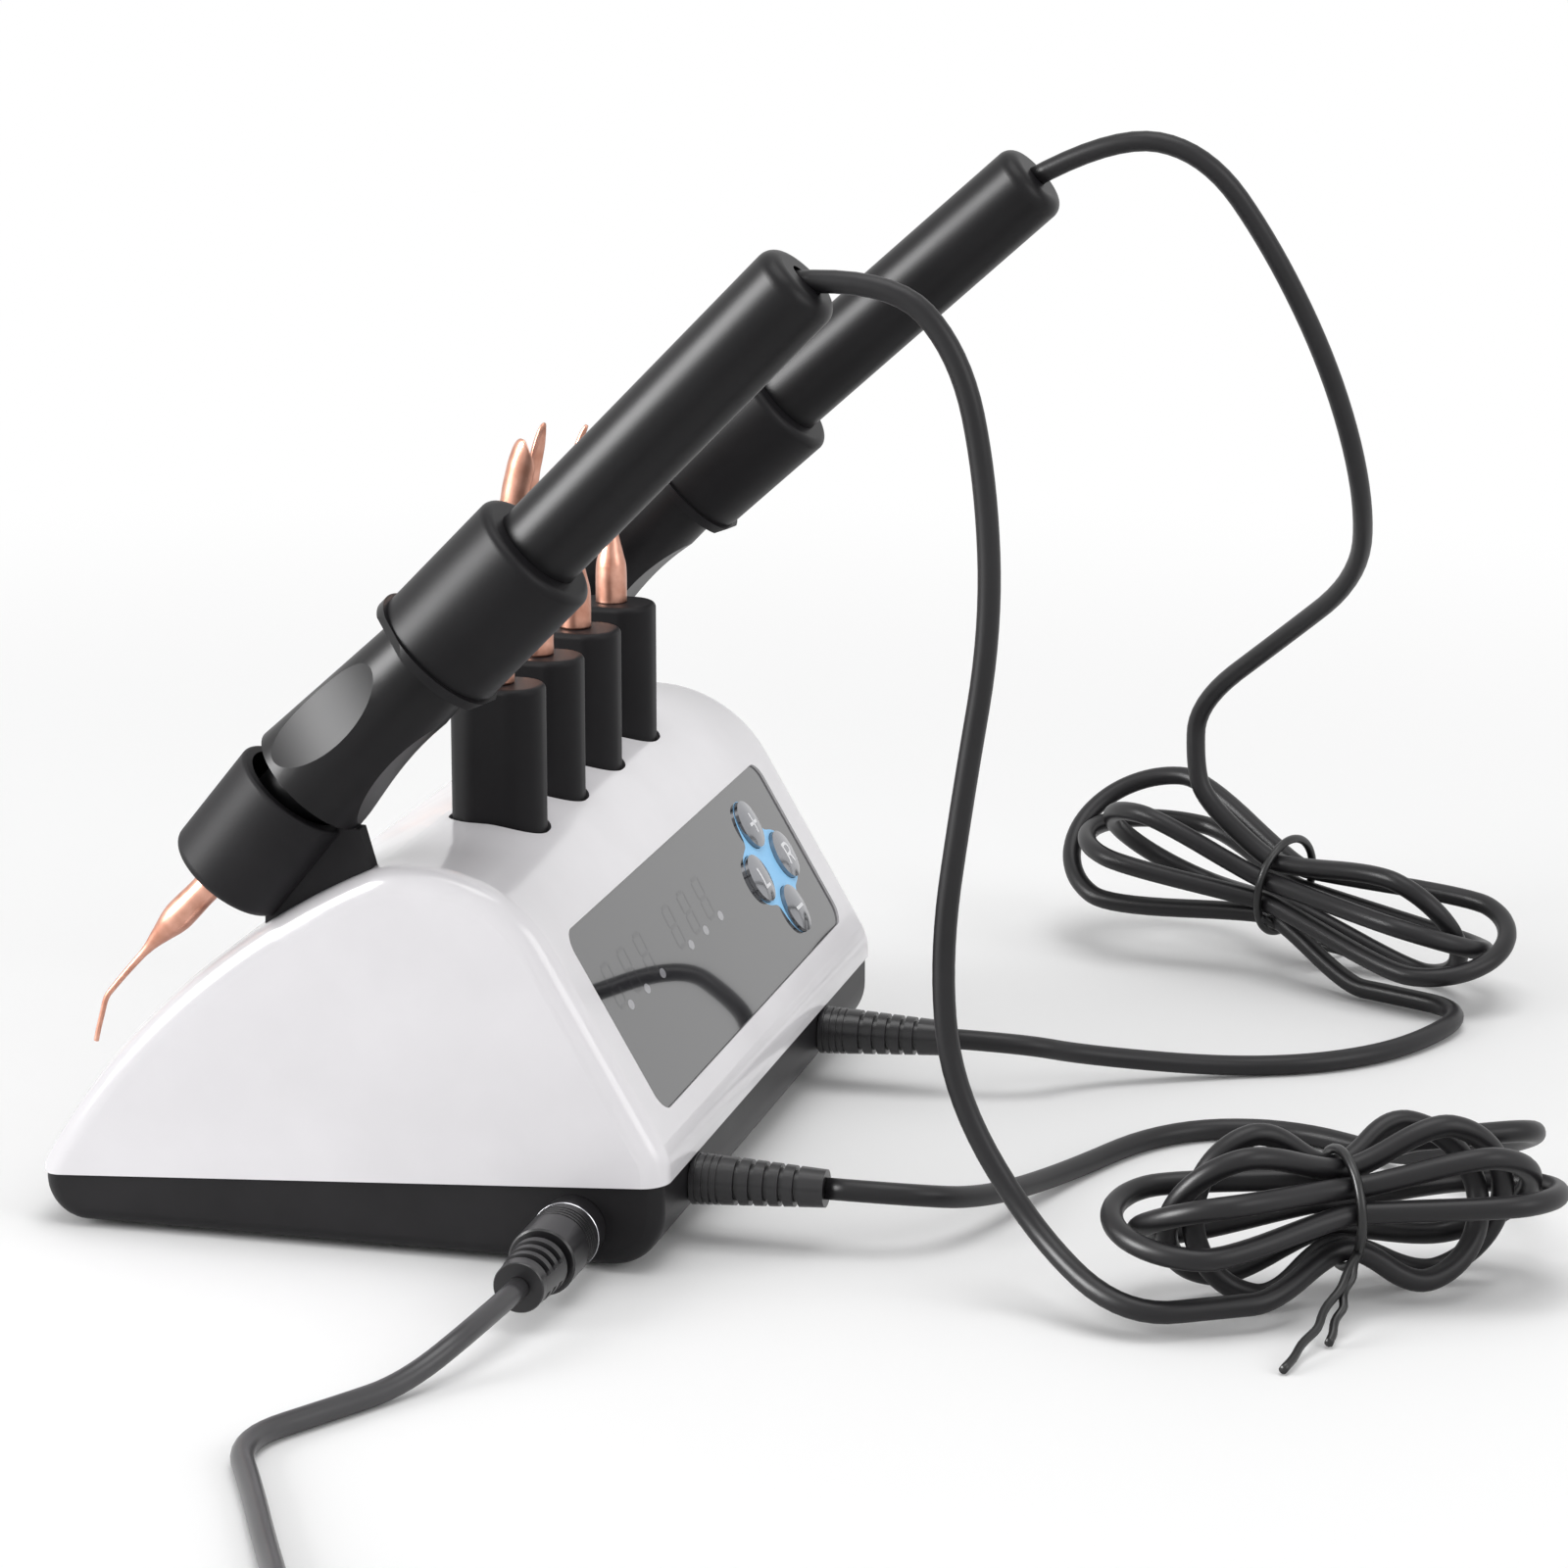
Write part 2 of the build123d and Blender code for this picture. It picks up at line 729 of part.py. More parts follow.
# Short screws: four in each board, two in the peg plate
screw_planes = []
for u in (-front_boss_u, front_boss_u):
    for v in (-front_boss_v, front_boss_v):
        screw_planes.append(Plane(origin=on_slope(u, v, front_board_depth + board_t), z_dir=slope_n))
for x, y in jack_board_posts:
    screw_planes.append(Plane(origin=(x, y, board_top), z_dir=(0, 0, -1)))
for x in (-plate_screw_x, plate_screw_x):
    screw_planes.append(Plane(origin=(x, peg_y, pad_z - peg_flange_t - plate_t), z_dir=(0, 0, 1)))
with BuildPart() as board_screws:
    for place in screw_planes:
        with BuildSketch(place):
            Circle(small_screw_d / 2)
        extrude(amount=small_screw_len)
        with BuildSketch(place):
            Circle(small_head_d / 2)
        extrude(amount=-small_head_h)
keep(board_screws.part, "board_screws")

# Plate that clamps the flanges of the pegs
with BuildPart() as holder_plate:
    with BuildSketch(Plane.XY.offset(pad_z - peg_flange_t - plate_t)):
        with Locations((0, (pad_y0 + pad_y1) / 2)):
            Rectangle(pad_w, pad_y1 - pad_y0)
        with Locations((-plate_screw_x, peg_y), (plate_screw_x, peg_y)):
            Circle(small_screw_d / 2 + thread_gap, mode=Mode.SUBTRACT)
    extrude(amount=plate_t)
keep(holder_plate.part, "holder_plate")

# Pegs
for number, x in enumerate(peg_xs, start=1):
    with BuildPart() as peg:
        with BuildSketch(Plane.XY.offset(pad_z - peg_flange_t)):
            with Locations((x, peg_y)):
                RectangleRounded(peg_w, peg_l, peg_r)
        extrude(amount=peg_top - pad_z + peg_flange_t)
        fillet(peg.faces().sort_by(Axis.Z)[-1].edges(), peg_top_round)
        with BuildSketch(Plane.XY.offset(pad_z - peg_flange_t)):
            with Locations((x, peg_y)):
                RectangleRounded(peg_flange_w, peg_flange_l, peg_flange_r)
        extrude(amount=peg_flange_t)
        with BuildSketch(Plane.XY.offset(peg_hole_floor)):
            with Locations((x, peg_y)):
                Circle(peg_hole_d / 2)
        extrude(amount=peg_top, mode=Mode.SUBTRACT)
    keep(peg.part, f"tip_holder_{number}")

# Spare tips: shank in the peg, collar on its top, taper, wire and blade
for x, (name, reach) in zip(peg_xs, spare_reach.items()):
    tip_top = peg_top + reach
    wire_top = tip_top - blade_len / 2 if blade_w[name] else tip_top
    with BuildPart() as spare_tip:
        with BuildSketch(Plane(origin=(x, peg_y, 0), x_dir=(1, 0, 0), z_dir=(0, -1, 0))):
            with BuildLine():
                Polyline(
                    (0, peg_hole_floor),
                    (tip_d / 2, peg_hole_floor),
                    (tip_d / 2, peg_top),
                    (tip_bulge_d / 2, peg_top),
                    (tip_bulge_d / 2, peg_top + tip_bulge_len),
                    (tip_neck_d / 2, peg_top + tip_bulge_len + tip_taper_len),
                    (tip_end_d / 2, wire_top),
                    (0, wire_top),
                    close=True,
                )
            make_face()
        revolve(axis=Axis((x, peg_y, 0), (0, 0, 1)))
        if blade_w[name]:
            with BuildSketch(Plane(origin=(x, peg_y, 0), x_dir=(1, 0, 0), z_dir=(0, -1, 0))):
                with Locations((0, tip_top - blade_len / 2)):
                    Ellipse(blade_w[name] / 2, blade_len / 2)
            extrude(amount=blade_t / 2, both=True)
    keep(spare_tip.part, name)

# Pens, cradles and their screws
pen_sets = [
    ("left", -1, left_lean, left_shoulder),
    ("right", 1, right_lean, right_shoulder),
]
pen_ends = {}
for side_name, sx, lean, (sy, sz) in pen_sets:
    angle = math.radians(lean)
    rear = Vector(0, -math.cos(angle), math.sin(angle))
    upper = Vector(0, math.sin(angle), math.cos(angle))
    shoulder = Vector(sx * pen_x, sy, sz)
    pen_axis = Axis(shoulder, rear)
    profile = Plane(origin=shoulder, x_dir=upper, z_dir=(1, 0, 0))

    # Front barrel: nose, shoulder, taper with three scoops, flange, spigot
    with BuildPart() as front_barrel:
        with BuildSketch(profile):
            with BuildLine():
                Polyline(
                    (0, -nose_len),
                    (nose_d0 / 2, -nose_len),
                    (nose_d1 / 2, 0),
                    (shoulder_d / 2, 0),
                    (barrel_d / 2, barrel_len),
                    (flange_d / 2, barrel_len),
                    (flange_d / 2, barrel_len + flange_t),
                    (spigot_d / 2, barrel_len + flange_t),
                    (spigot_d / 2, barrel_len + flange_t + spigot_len),
                    (0, barrel_len + flange_t + spigot_len),
                    close=True,
                )
            make_face()
        revolve(axis=pen_axis)
        scoop_surface = shoulder_d / 2 + (barrel_d - shoulder_d) / 2 * scoop_w / barrel_len
        for scoop_angle in scoop_angles:
            turn = math.radians(scoop_angle)
            out = Vector(-math.cos(turn), 0, 0) + upper * math.sin(turn)
            centre = shoulder + rear * scoop_w + out * (scoop_surface + scoop_r - scoop_depth)
            with BuildSketch(Plane(origin=centre, x_dir=rear, z_dir=out.cross(rear))):
                Circle(scoop_r)
            extrude(amount=scoop_len / 2, both=True, mode=Mode.SUBTRACT)
        with BuildSketch(profile):
            with BuildLine():
                Polyline(
                    (0, -nose_len),
                    (socket_d / 2 + socket_fit, -nose_len),
                    (socket_d / 2 + socket_fit, -nose_len + socket_len),
                    (heater_d / 2 + heater_fit, -nose_len + socket_len),
                    (heater_d / 2 + heater_fit, -nose_len + socket_len + heater_len),
                    (wire_bore / 2, -nose_len + socket_len + heater_len),
                    (wire_bore / 2, barrel_len + flange_t + spigot_len),
                    (0, barrel_len + flange_t + spigot_len),
                    close=True,
                )
            make_face()
        revolve(axis=pen_axis, mode=Mode.SUBTRACT)
    keep(front_barrel.part, f"{side_name}_front_barrel")

    # Handle tube with a thick end and the cord's seat in it
    end = shoulder + rear * handle_end
    exit_angle = angle - math.radians(cord_exit_tilt[side_name])
    cord_out = Vector(0, -math.cos(exit_angle), math.sin(exit_angle))
    cord_start = end - cord_out * cord_seat
    pen_ends[side_name] = (cord_start, cord_out)
    with BuildPart() as handle:
        with BuildSketch(profile):
            with BuildLine():
                Polyline(
                    (0, handle_end),
                    (handle_d / 2, handle_end),
                    (handle_d / 2, barrel_len + flange_t),
                    (handle_bore / 2, barrel_len + flange_t),
                    (handle_bore / 2, handle_end - handle_cap),
                    (0, handle_end - handle_cap),
                    close=True,
                )
            make_face()
        revolve(axis=pen_axis)
        round_edges = handle.edges().filter_by(GeomType.CIRCLE)
        fillet(round_edges.sort_by_distance(end + upper * (handle_d / 2))[0], handle_round)
        with BuildSketch(Plane(origin=cord_start, x_dir=(1, 0, 0), z_dir=cord_out)):
            Circle(pen_cord_d / 2 + handle_fit)
        extrude(amount=2 * handle_cap, mode=Mode.SUBTRACT)
    keep(handle.part, f"{side_name}_handle")

    # Grip sleeve on the handle
    with BuildPart() as grip_sleeve:
        with BuildSketch(profile):
            with BuildLine():
                Polyline(
                    (handle_d / 2 + handle_fit, barrel_len + flange_t),
                    (sleeve_d / 2, barrel_len + flange_t),
                    (sleeve_d / 2, sleeve_end),
                    (handle_d / 2 + handle_fit, sleeve_end),
                    close=True,
                )
            make_face()
        revolve(axis=pen_axis)
        rear_rim = shoulder + rear * sleeve_end + upper * (sleeve_d / 2)
        fillet(grip_sleeve.edges().filter_by(GeomType.CIRCLE).sort_by_distance(rear_rim)[0], sleeve_round)
    keep(grip_sleeve.part, f"{side_name}_grip_sleeve")

    # Heater core behind the socket
    with BuildPart() as heater_core:
        core_start = shoulder + rear * (socket_len - nose_len)
        with BuildSketch(Plane(origin=core_start, x_dir=(1, 0, 0), z_dir=rear)):
            Circle(heater_d / 2)
        extrude(amount=heater_len)
    keep(heater_core.part, f"{side_name}_heater_core")

    # Brass socket for the tip's shank
    with BuildPart() as tip_socket:
        with BuildSketch(Plane(origin=shoulder - rear * nose_len, x_dir=(1, 0, 0), z_dir=rear)):
            Circle(socket_d / 2)
        extrude(amount=socket_len)
        with BuildSketch(Plane(origin=shoulder - rear * nose_len, x_dir=(1, 0, 0), z_dir=rear)):
            Circle(tip_d / 2 + socket_fit)
        extrude(amount=tip_insert, mode=Mode.SUBTRACT)
    keep(tip_socket.part, f"{side_name}_tip_socket")

    # Tip: shank, bulge, taper, then a bent wire
    taper_start = nose_len + pen_tip_straight
    taper_end = taper_start + pen_tip_taper
    wire_line = [
        shoulder - rear * (taper_end - 1),
        shoulder - rear * pen_tip_bend - upper * pen_tip_bend_off,
        shoulder - rear * pen_tip_reach - upper * pen_tip_end_off,
    ]
    with BuildPart() as pen_tip:
        with BuildSketch(profile):
            with BuildLine():
                Polyline(
                    (0, tip_insert - nose_len),
                    (tip_d / 2, tip_insert - nose_len),
                    (tip_d / 2, -taper_start + 1),
                    (pen_tip_bulge_d / 2, -taper_start),
                    (pen_tip_bulge_d / 2, -taper_start - 1),
                    (pen_tip_wire_d / 2, -taper_end),
                    (0, -taper_end),
                    close=True,
                )
            make_face()
        revolve(axis=pen_axis)
        with BuildLine() as wire_path:
            FilletPolyline(*wire_line, radius=pen_tip_bend_r)
        with BuildSketch(wire_path.line ^ 0):
            Circle(pen_tip_wire_d / 2)
        sweep()
    keep(pen_tip.part, f"{side_name}_pen_tip")

    # Cradle: cup on a web that stands on the shell, tenon through the wall
    cup_angle = math.radians(cup_lean)
    cup_out = Vector(0, -math.cos(cup_angle), math.sin(cup_angle))
    rim = Vector(sx * pen_x, *cup_rim)
    foot_plane = Plane(origin=(sx * pen_x, foot_y, foot_z), x_dir=(1, 0, 0), z_dir=foot_n)
    with BuildPart() as cradle:
        with BuildSketch(Plane(origin=rim, x_dir=(1, 0, 0), z_dir=cup_out)):
            Circle(cup_d / 2)
        extrude(amount=-cup_len)
        round_edges = cradle.edges().filter_by(GeomType.CIRCLE).sort_by_distance(rim)
        fillet(round_edges[0], cup_rim_round)
        foot_edges = cradle.edges().filter_by(GeomType.CIRCLE).sort_by_distance(rim - cup_out * cup_len)
        fillet(foot_edges[0], cup_foot_round)
        with BuildSketch(Plane.YZ.offset(sx * pen_x)):
            with BuildLine():
                Polyline(*web_line, close=True)
            make_face()
        extrude(amount=web_t / 2, both=True)
        add(shell_blank.part, mode=Mode.SUBTRACT)
        with BuildSketch(Plane(origin=rim, x_dir=(1, 0, 0), z_dir=cup_out)):
            Circle(cup_bore / 2)
        extrude(amount=-(cup_len - cup_floor_t), mode=Mode.SUBTRACT)
        with BuildSketch(Plane(origin=rim, x_dir=(1, 0, 0), z_dir=cup_out)):
            Circle(cup_hole_d / 2)
        extrude(amount=-2 * cup_len, mode=Mode.SUBTRACT)
        with BuildSketch(foot_plane.offset(tenon_root)):
            Rectangle(tenon_w, tenon_l)
        extrude(amount=-(tenon_root + wall))
        with BuildSketch(foot_plane.offset(cradle_screw_reach)):
            Circle(cradle_screw_d / 2 + thread_gap)
        extrude(amount=-2 * cradle_screw_reach, mode=Mode.SUBTRACT)
    keep(cradle.part, f"{side_name}_cradle")

# Screws with washers that pull the cradles' tenons into the shell
with BuildPart() as cradle_screws:
    for sx in (-1, 1):
        foot_plane = Plane(origin=(sx * pen_x, foot_y, foot_z), x_dir=(1, 0, 0), z_dir=foot_n)
        washer_plane = foot_plane.offset(-wall - washer_lift)
        with BuildSketch(washer_plane):
            Circle(washer_d / 2)
        extrude(amount=-washer_t)
        with BuildSketch(washer_plane.offset(-washer_t)):
            Circle(cradle_head_d / 2)
        extrude(amount=-cradle_head_h)
        with BuildSketch(washer_plane):
            Circle(cradle_screw_d / 2)
        extrude(amount=wall + washer_lift + cradle_screw_reach)
keep(cradle_screws.part, "cradle_screws")


# Profile of a moulded plug body: radius against distance, cut by square grooves
def grooved(r0, r1, length, cuts):
    points = [(r0, 0)]
    for start, width, depth in cuts:
        ra = r0 + (r1 - r0) * start / length
        rb = r0 + (r1 - r0) * (start + width) / length
        points += [(ra, start), (ra - depth, start), (rb - depth, start + width), (rb, start + width)]
    points.append((r1, length))
    return points


# Pen plugs: pin and nose in the base, ribbed strain relief outside
plug_face_y = -base_half_d - pen_plug_face_gap
fine_cuts = [(pen_groove_start + i * groove_pitch, groove_w, groove_depth) for i in range(groove_count)]
rib_cuts = [(rib_start + i * rib_pitch, rib_gap, rib_depth) for i in range(rib_count)]
for side_name, x in pen_plug_xs.items():
    face = Vector(x, plug_face_y, pen_plug_z)
    body = grooved(pen_plug_root_d / 2, pen_plug_end_d / 2, pen_plug_len, fine_cuts + rib_cuts)
    nose = pen_jack_y0 - plug_face_y
    with BuildPart() as pen_plug:
        with BuildSketch(Plane(origin=face, x_dir=(1, 0, 0), z_dir=(0, 0, -1))):
            with BuildLine():
                Polyline(
                    (0, pen_plug_len),
                    (0, -nose - pen_plug_pin_len),
                    (pen_plug_pin_d / 2, -nose - pen_plug_pin_len),
                    (pen_plug_pin_d / 2, -nose),
                    (pen_plug_nose_d / 2, -nose),
                    (pen_plug_nose_d / 2, 0),
                    *body,
                    close=True,
                )
            make_face()
        revolve(axis=Axis(face, (0, -1, 0)))
    keep(pen_plug.part, f"{side_name}_pen_plug")

# Supply plug: grooved barrel, neck, slotted relief and end flange
barrel_cuts = [(dc_groove_start + i * groove_pitch, groove_w, groove_depth) for i in range(groove_count)]
relief_cuts = [(slot_w + i * slot_pitch, slot_w, slot_depth) for i in range(groove_count)]
dc_face = Vector(-base_half_w, dc_y, dc_z)
neck_at = dc_barrel_len + dc_neck_len
flange_at = neck_at + dc_relief_len
dc_plug_len = flange_at + dc_flange_len
dc_points = grooved(dc_barrel_d / 2, dc_barrel_d / 2, dc_barrel_len, barrel_cuts)
dc_points += [(dc_neck_d / 2, dc_barrel_len), (dc_neck_d / 2, neck_at)]
relief = grooved(dc_relief_d0 / 2, dc_relief_d1 / 2, dc_relief_len, relief_cuts)
dc_points += [(r, t + neck_at) for r, t in relief]
dc_points += [(dc_flange_d / 2, flange_at), (dc_flange_d / 2, dc_plug_len), (0, dc_plug_len)]
with BuildPart() as dc_plug:
    with BuildSketch(Plane(origin=dc_face, x_dir=(0, 1, 0), z_dir=(0, 0, 1))):
        with BuildLine():
            Polyline(
                (0, 0),
                (dc_sleeve_bore / 2, 0),
                (dc_sleeve_bore / 2, -dc_sleeve_len),
                (dc_sleeve_d / 2, -dc_sleeve_len),
                (dc_sleeve_d / 2, 0),
                *dc_points,
                close=True,
            )
        make_face()
    revolve(axis=Axis(dc_face, (-1, 0, 0)))
keep(dc_plug.part, "dc_plug")


# Free stretch of cord: straight runs joined by arcs that touch both
def cord_route(points):
    radii = []
    for a, b, c in zip(points, points[1:], points[2:]):
        one = b - a
        two = c - b
        half_turn = math.radians(one.get_angle(two)) / 2
        radii.append(bend_share * min(one.length, two.length) / math.tan(half_turn))
    return radii


def report_tube(name, part, path, diameter, radii):
    least = min([r for r in radii if r > 0], default=0)
    want = math.pi * diameter ** 2 / 4 * path.length
    print(f"{name}: length {path.length:.1f}, least bend {least:.1f}, volume ratio {part.volume / want:.4f}")


# Wound cord: the least gap between parts of the tube that are not neighbours
def report_gap(name, path, diameter):
    count = int(path.length)
    spots = np.array([tuple(path.position_at(i / count)) for i in range(count + 1)])
    apart = np.linalg.norm(spots[:, None] - spots[None, :], axis=2)
    index = np.arange(count + 1)
    far = np.abs(index[:, None] - index[None, :]) > 3 * diameter
    lowest = spots[:, 2].min() - diameter / 2
    print(f"{name}: least self-gap {apart[far].min() - diameter:.2f}, lowest point {lowest:.2f}")


def turned(tangent, start, end):
    chord = (end - start).normalized()
    return chord * (2 * tangent.dot(chord)) - tangent


def arc_run(start, tangent, end):
    TangentArc(start, end, tangent=tangent)
    return turned(tangent, start, end)


# Hank: loops to both sides of a tied waist, turned step by step about its axis
def hank_path(centre, along, side, waist_angle, rights, lefts, enter, leave):
    third = along.cross(side)

    def spot(s, r, degrees):
        a = math.radians(degrees)
        return centre + along * s + side * (r * math.cos(a)) + third * (r * math.sin(a))

    def aim(ds, du, dv):
        return (along * ds + side * du + third * dv).normalized()

    def link(start, tangent, end, end_tangent):
        gap = end - start
        both = tangent + end_tangent
        spread = 2 * (1 - tangent.dot(end_tangent))
        if spread < 1e-9:
            reach = gap.dot(gap) / (4 * gap.dot(tangent))
        else:
            reach = (math.sqrt(gap.dot(both) ** 2 + spread * gap.dot(gap)) - gap.dot(both)) / spread
        middle = (start + end + (tangent - end_tangent) * reach) * 0.5
        mid_tangent = arc_run(start, tangent, middle)
        arc_run(middle, mid_tangent, end)

    enter_s, enter_r, enter_angle, enter_aim = enter
    enter_tangent = aim(*enter_aim)
    inner = spot(-enter_s, enter_r, enter_angle)
    outer = inner - enter_tangent * pen_cord_d
    Line(outer, inner)
    here = spot(-hank_waist_half, hank_waist_r, waist_angle)
    link(inner, enter_tangent, here, along)
    angle = waist_angle
    heading = 1
    right_list = list(rights)
    left_list = list(lefts)
    while True:
        across = spot(heading * hank_waist_half, hank_waist_r, angle)
        Line(here, across)
        lobes = right_list if heading > 0 else left_list
        if not lobes:
            break
        climb = 0 if heading > 0 else hank_turn / 2
        reach, radius = lobes.pop(0)
        out_angle = angle + climb
        shoulder_out = spot(heading * reach, radius, out_angle)
        link(across, along * heading, shoulder_out, along * heading)
        apex = spot(heading * (reach + radius), 0, 0)
        shoulder_back = spot(heading * reach, radius, out_angle + 180)
        tangent = arc_run(shoulder_out, along * heading, apex)
        arc_run(apex, tangent, shoulder_back)
        angle = out_angle + 180 + climb
        here = spot(heading * hank_waist_half, hank_waist_r, angle)
        link(shoulder_back, along * -heading, here, along * -heading)
        heading = -heading
    leave_s, leave_r, leave_angle, leave_aim = leave
    leave_tangent = aim(*leave_aim)
    last = spot(leave_s, leave_r, leave_angle)
    link(across, along, last, leave_tangent)
    end = last + leave_tangent * pen_cord_d
    Line(last, end)
    return outer, enter_tangent, end, leave_tangent, spot


hanks = {
    "left": {
        "centre": Vector(-53, -158, 15.1),
        "along": Vector(0.5, -0.866, 0).normalized(),
        "side": Vector(0.866, 0.5, 0).normalized(),
        "waist_angle": -117,
        "rights": [(10.3 + hank_step * i, 13.0) for i in range(4)],
        "lefts": [(11.5 + hank_step * i, 13.0) for i in range(4)],
        "enter": (15.0, 15.0, -135, (1, 0, 0)),
        "leave": (14.5, 13.0, 27, (1, 0, 0)),
        "tie_angle": -150,
        "tie_ends": [Vector(-89, -155, 0.9), Vector(-76, -160, 0.9)],
    },
    "right": {
        "centre": Vector(130, -120.6, 16.8),
        "along": Vector(-0.42, -0.906, -0.122).normalized(),
        "side": Vector(0.907, -0.42, 0).normalized(),
        "waist_angle": 126,
        "rights": [(25.2 + hank_step * i, 14.0) for i in range(3)],
        "lefts": [(22.2 + hank_step * i, 17.0) for i in range(3)],
        "enter": (16.0, 16.0, 117, (0.436, 0, -0.9)),
        "leave": (22.0, 14.6, 234, (1, 0, 0.123)),
        "tie_angle": -150,
        "tie_ends": [Vector(108, -112, 0.9), Vector(112, -122, 0.9)],
    },
}

falls = {
    "left": [
        Vector(-65.2, -98.8, 149.5),
        Vector(-65.5, -103.0, 130.0),
        Vector(-65.5, -104.0, 107.0),
        Vector(-65.5, -99.8, 81.0),
        Vector(-65.5, -96.3, 55.0),
        Vector(-65.6, -98.5, 33.0),
        Vector(-67.5, -112.0, 12.0),
    ],
    "right": [
        Vector(65.5, -113.5, 165.0),
        Vector(70.5, -125.0, 147.5),
        Vector(76.5, -135.0, 125.0),
        Vector(85.0, -138.5, 102.0),
        Vector(104.0, -131.0, 84.0),
        Vector(122.0, -113.0, 68.5),
    ],
}
leads = {
    "left": [
        Vector(-38.0, -97.5, 6.6),
        Vector(-10.0, -104.5, 1.9),
        Vector(19.0, -117.0, 1.9),
        Vector(26.0, -138.0, 1.9),
        Vector(13.0, -160.0, 1.9),
        Vector(-4.0, -180.0, 12.0),
    ],
    "right": [
        Vector(46.0, -97.5, 6.0),
        Vector(58.0, -121.0, 1.9),
        Vector(65.0, -139.0, 1.9),
        Vector(79.0, -152.0, 1.9),
    ],
}
fall_first = {"left": 16.0, "right": 17.5}
lead_first = 14.5
enter_run = {"left": 21.0, "right": 17.0}
leave_run = {"left": 22.0, "right": 24.0}

hank_ends = {}
for side_name, hank in hanks.items():
    with BuildPart() as hank_part:
        with BuildLine() as hank_line:
            ends = hank_path(
                hank["centre"],
                hank["along"],
                hank["side"],
                hank["waist_angle"],
                hank["rights"],
                hank["lefts"],
                hank["enter"],
                hank["leave"],
            )
        with BuildSketch(hank_line.line ^ 0):
            Circle(pen_cord_d / 2)
        sweep()
    hank_ends[side_name] = ends
    keep(hank_part.part, f"{side_name}_cord_hank")
    report_tube(f"{side_name}_cord_hank", hank_part.part, hank_line.wire(), pen_cord_d, [])
    report_gap(f"{side_name}_cord_hank", hank_line.wire(), pen_cord_d)

# Free falls from the pens and leads on the table from the plugs
for side_name, hank in hanks.items():
    enter_point, enter_tangent, leave_point, leave_tangent, hank_spot = hank_ends[side_name]
    start, out = pen_ends[side_name]
    fall_route = [start, start + out * fall_first[side_name]]
    fall_route += falls[side_name]
    fall_route += [enter_point - enter_tangent * enter_run[side_name], enter_point]
    plug_end = Vector(pen_plug_xs[side_name], plug_face_y - pen_plug_len, pen_plug_z)
    lead_route = [plug_end, plug_end - Vector(0, lead_first, 0)]
    lead_route += leads[side_name]
    lead_route += [leave_point + leave_tangent * leave_run[side_name], leave_point]
    for kind, route in (("fall", fall_route), ("lead", lead_route)):
        radii = cord_route(route)
        with BuildPart() as stretch:
            with BuildLine() as stretch_line:
                FilletPolyline(*route, radius=radii)
            with BuildSketch(stretch_line.line ^ 0):
                Circle(pen_cord_d / 2)
            sweep()
        keep(stretch.part, f"{side_name}_cord_{kind}")
        report_tube(f"{side_name}_cord_{kind}", stretch.part, stretch_line.wire(), pen_cord_d, radii)
        print([round(r, 1) for r in radii])

# Tie round each waist with two tails that reach the table
for side_name, hank in hanks.items():
    hank_spot = hank_ends[side_name][-1]
    ring_r = hank_waist_r + pen_cord_d / 2 + tie_gap + tie_wire_r
    root = hank_spot(0, ring_r, hank["tie_angle"])
    with BuildPart() as tie:
        ring_normal = hank["along"].cross(hank["side"])
        with BuildSketch(Plane(origin=hank_spot(0, ring_r, 0), x_dir=hank["side"], z_dir=ring_normal)):
            Circle(tie_wire_r)
        revolve(axis=Axis(hank["centre"], hank["along"]))
        for tie_end in hank["tie_ends"]:
            with BuildLine() as tail_line:
                Line(root, tie_end)
            with BuildSketch(tail_line.line ^ 0):
                Circle(tie_wire_r)
            sweep()
    keep(tie.part, f"{side_name}_cord_tie")

# Supply cord from the plug to the coil
coil_x, coil_y = dc_coil_centre
coil_in = Vector(coil_x + dc_cord_d, coil_y + dc_coil_r, dc_coil_z)
dc_end = dc_face - Vector(dc_plug_len, 0, 0)
dc_route = [dc_end, dc_end - Vector(dc_first, 0, 0)] + dc_turns + [coil_in + Vector(dc_last, 0, 0), coil_in]
radii = cord_route(dc_route)
with BuildPart() as dc_cord:
    with BuildLine() as dc_line:
        FilletPolyline(*dc_route, radius=radii)
    with BuildSketch(dc_line.line ^ 0):
        Circle(dc_cord_d / 2)
    sweep()
keep(dc_cord.part, "dc_cord")
report_tube("dc_cord", dc_cord.part, dc_line.wire(), dc_cord_d, radii)
print([round(r, 1) for r in radii])


# Coil: half turns about two centres, inward below, one climbing half turn, outward above
with BuildPart() as dc_coil:
    with BuildLine() as coil_line:
        here = Vector(coil_x, coil_y + dc_coil_r, dc_coil_z)
        Line(coil_in, here)
        last_r = dc_coil_r - (2 * dc_coil_turns - 2) * dc_coil_step / 2
        half_turns = [(dc_coil_r - i * dc_coil_step / 2, 0) for i in range(2 * dc_coil_turns - 1)]
        half_turns += [(last_r - dc_coil_step, dc_coil_layer)]
        half_turns += [(last_r + (i - 1) * dc_coil_step / 2, 0) for i in range(2 * dc_coil_turns)]
        down = 1
        for radius, climb in half_turns:
            far = here + Vector(0, -2 * radius * down, climb)
            side = math.hypot(radius, climb / 2)
            mid = here + Vector(-side * down, -radius * down, climb / 2)
            ThreePointArc(here, mid, far)
            here = far
            down = -down
        coil_out = here - Vector(dc_coil_tail, 0, 0)
        Line(here, coil_out)
    with BuildSketch(coil_line.line ^ 0):
        Circle(dc_cord_d / 2)
    sweep()
keep(dc_coil.part, "dc_cord_coil")
report_tube("dc_cord_coil", dc_coil.part, coil_line.wire(), dc_cord_d, [])
report_gap("dc_cord_coil", coil_line.wire(), dc_cord_d)

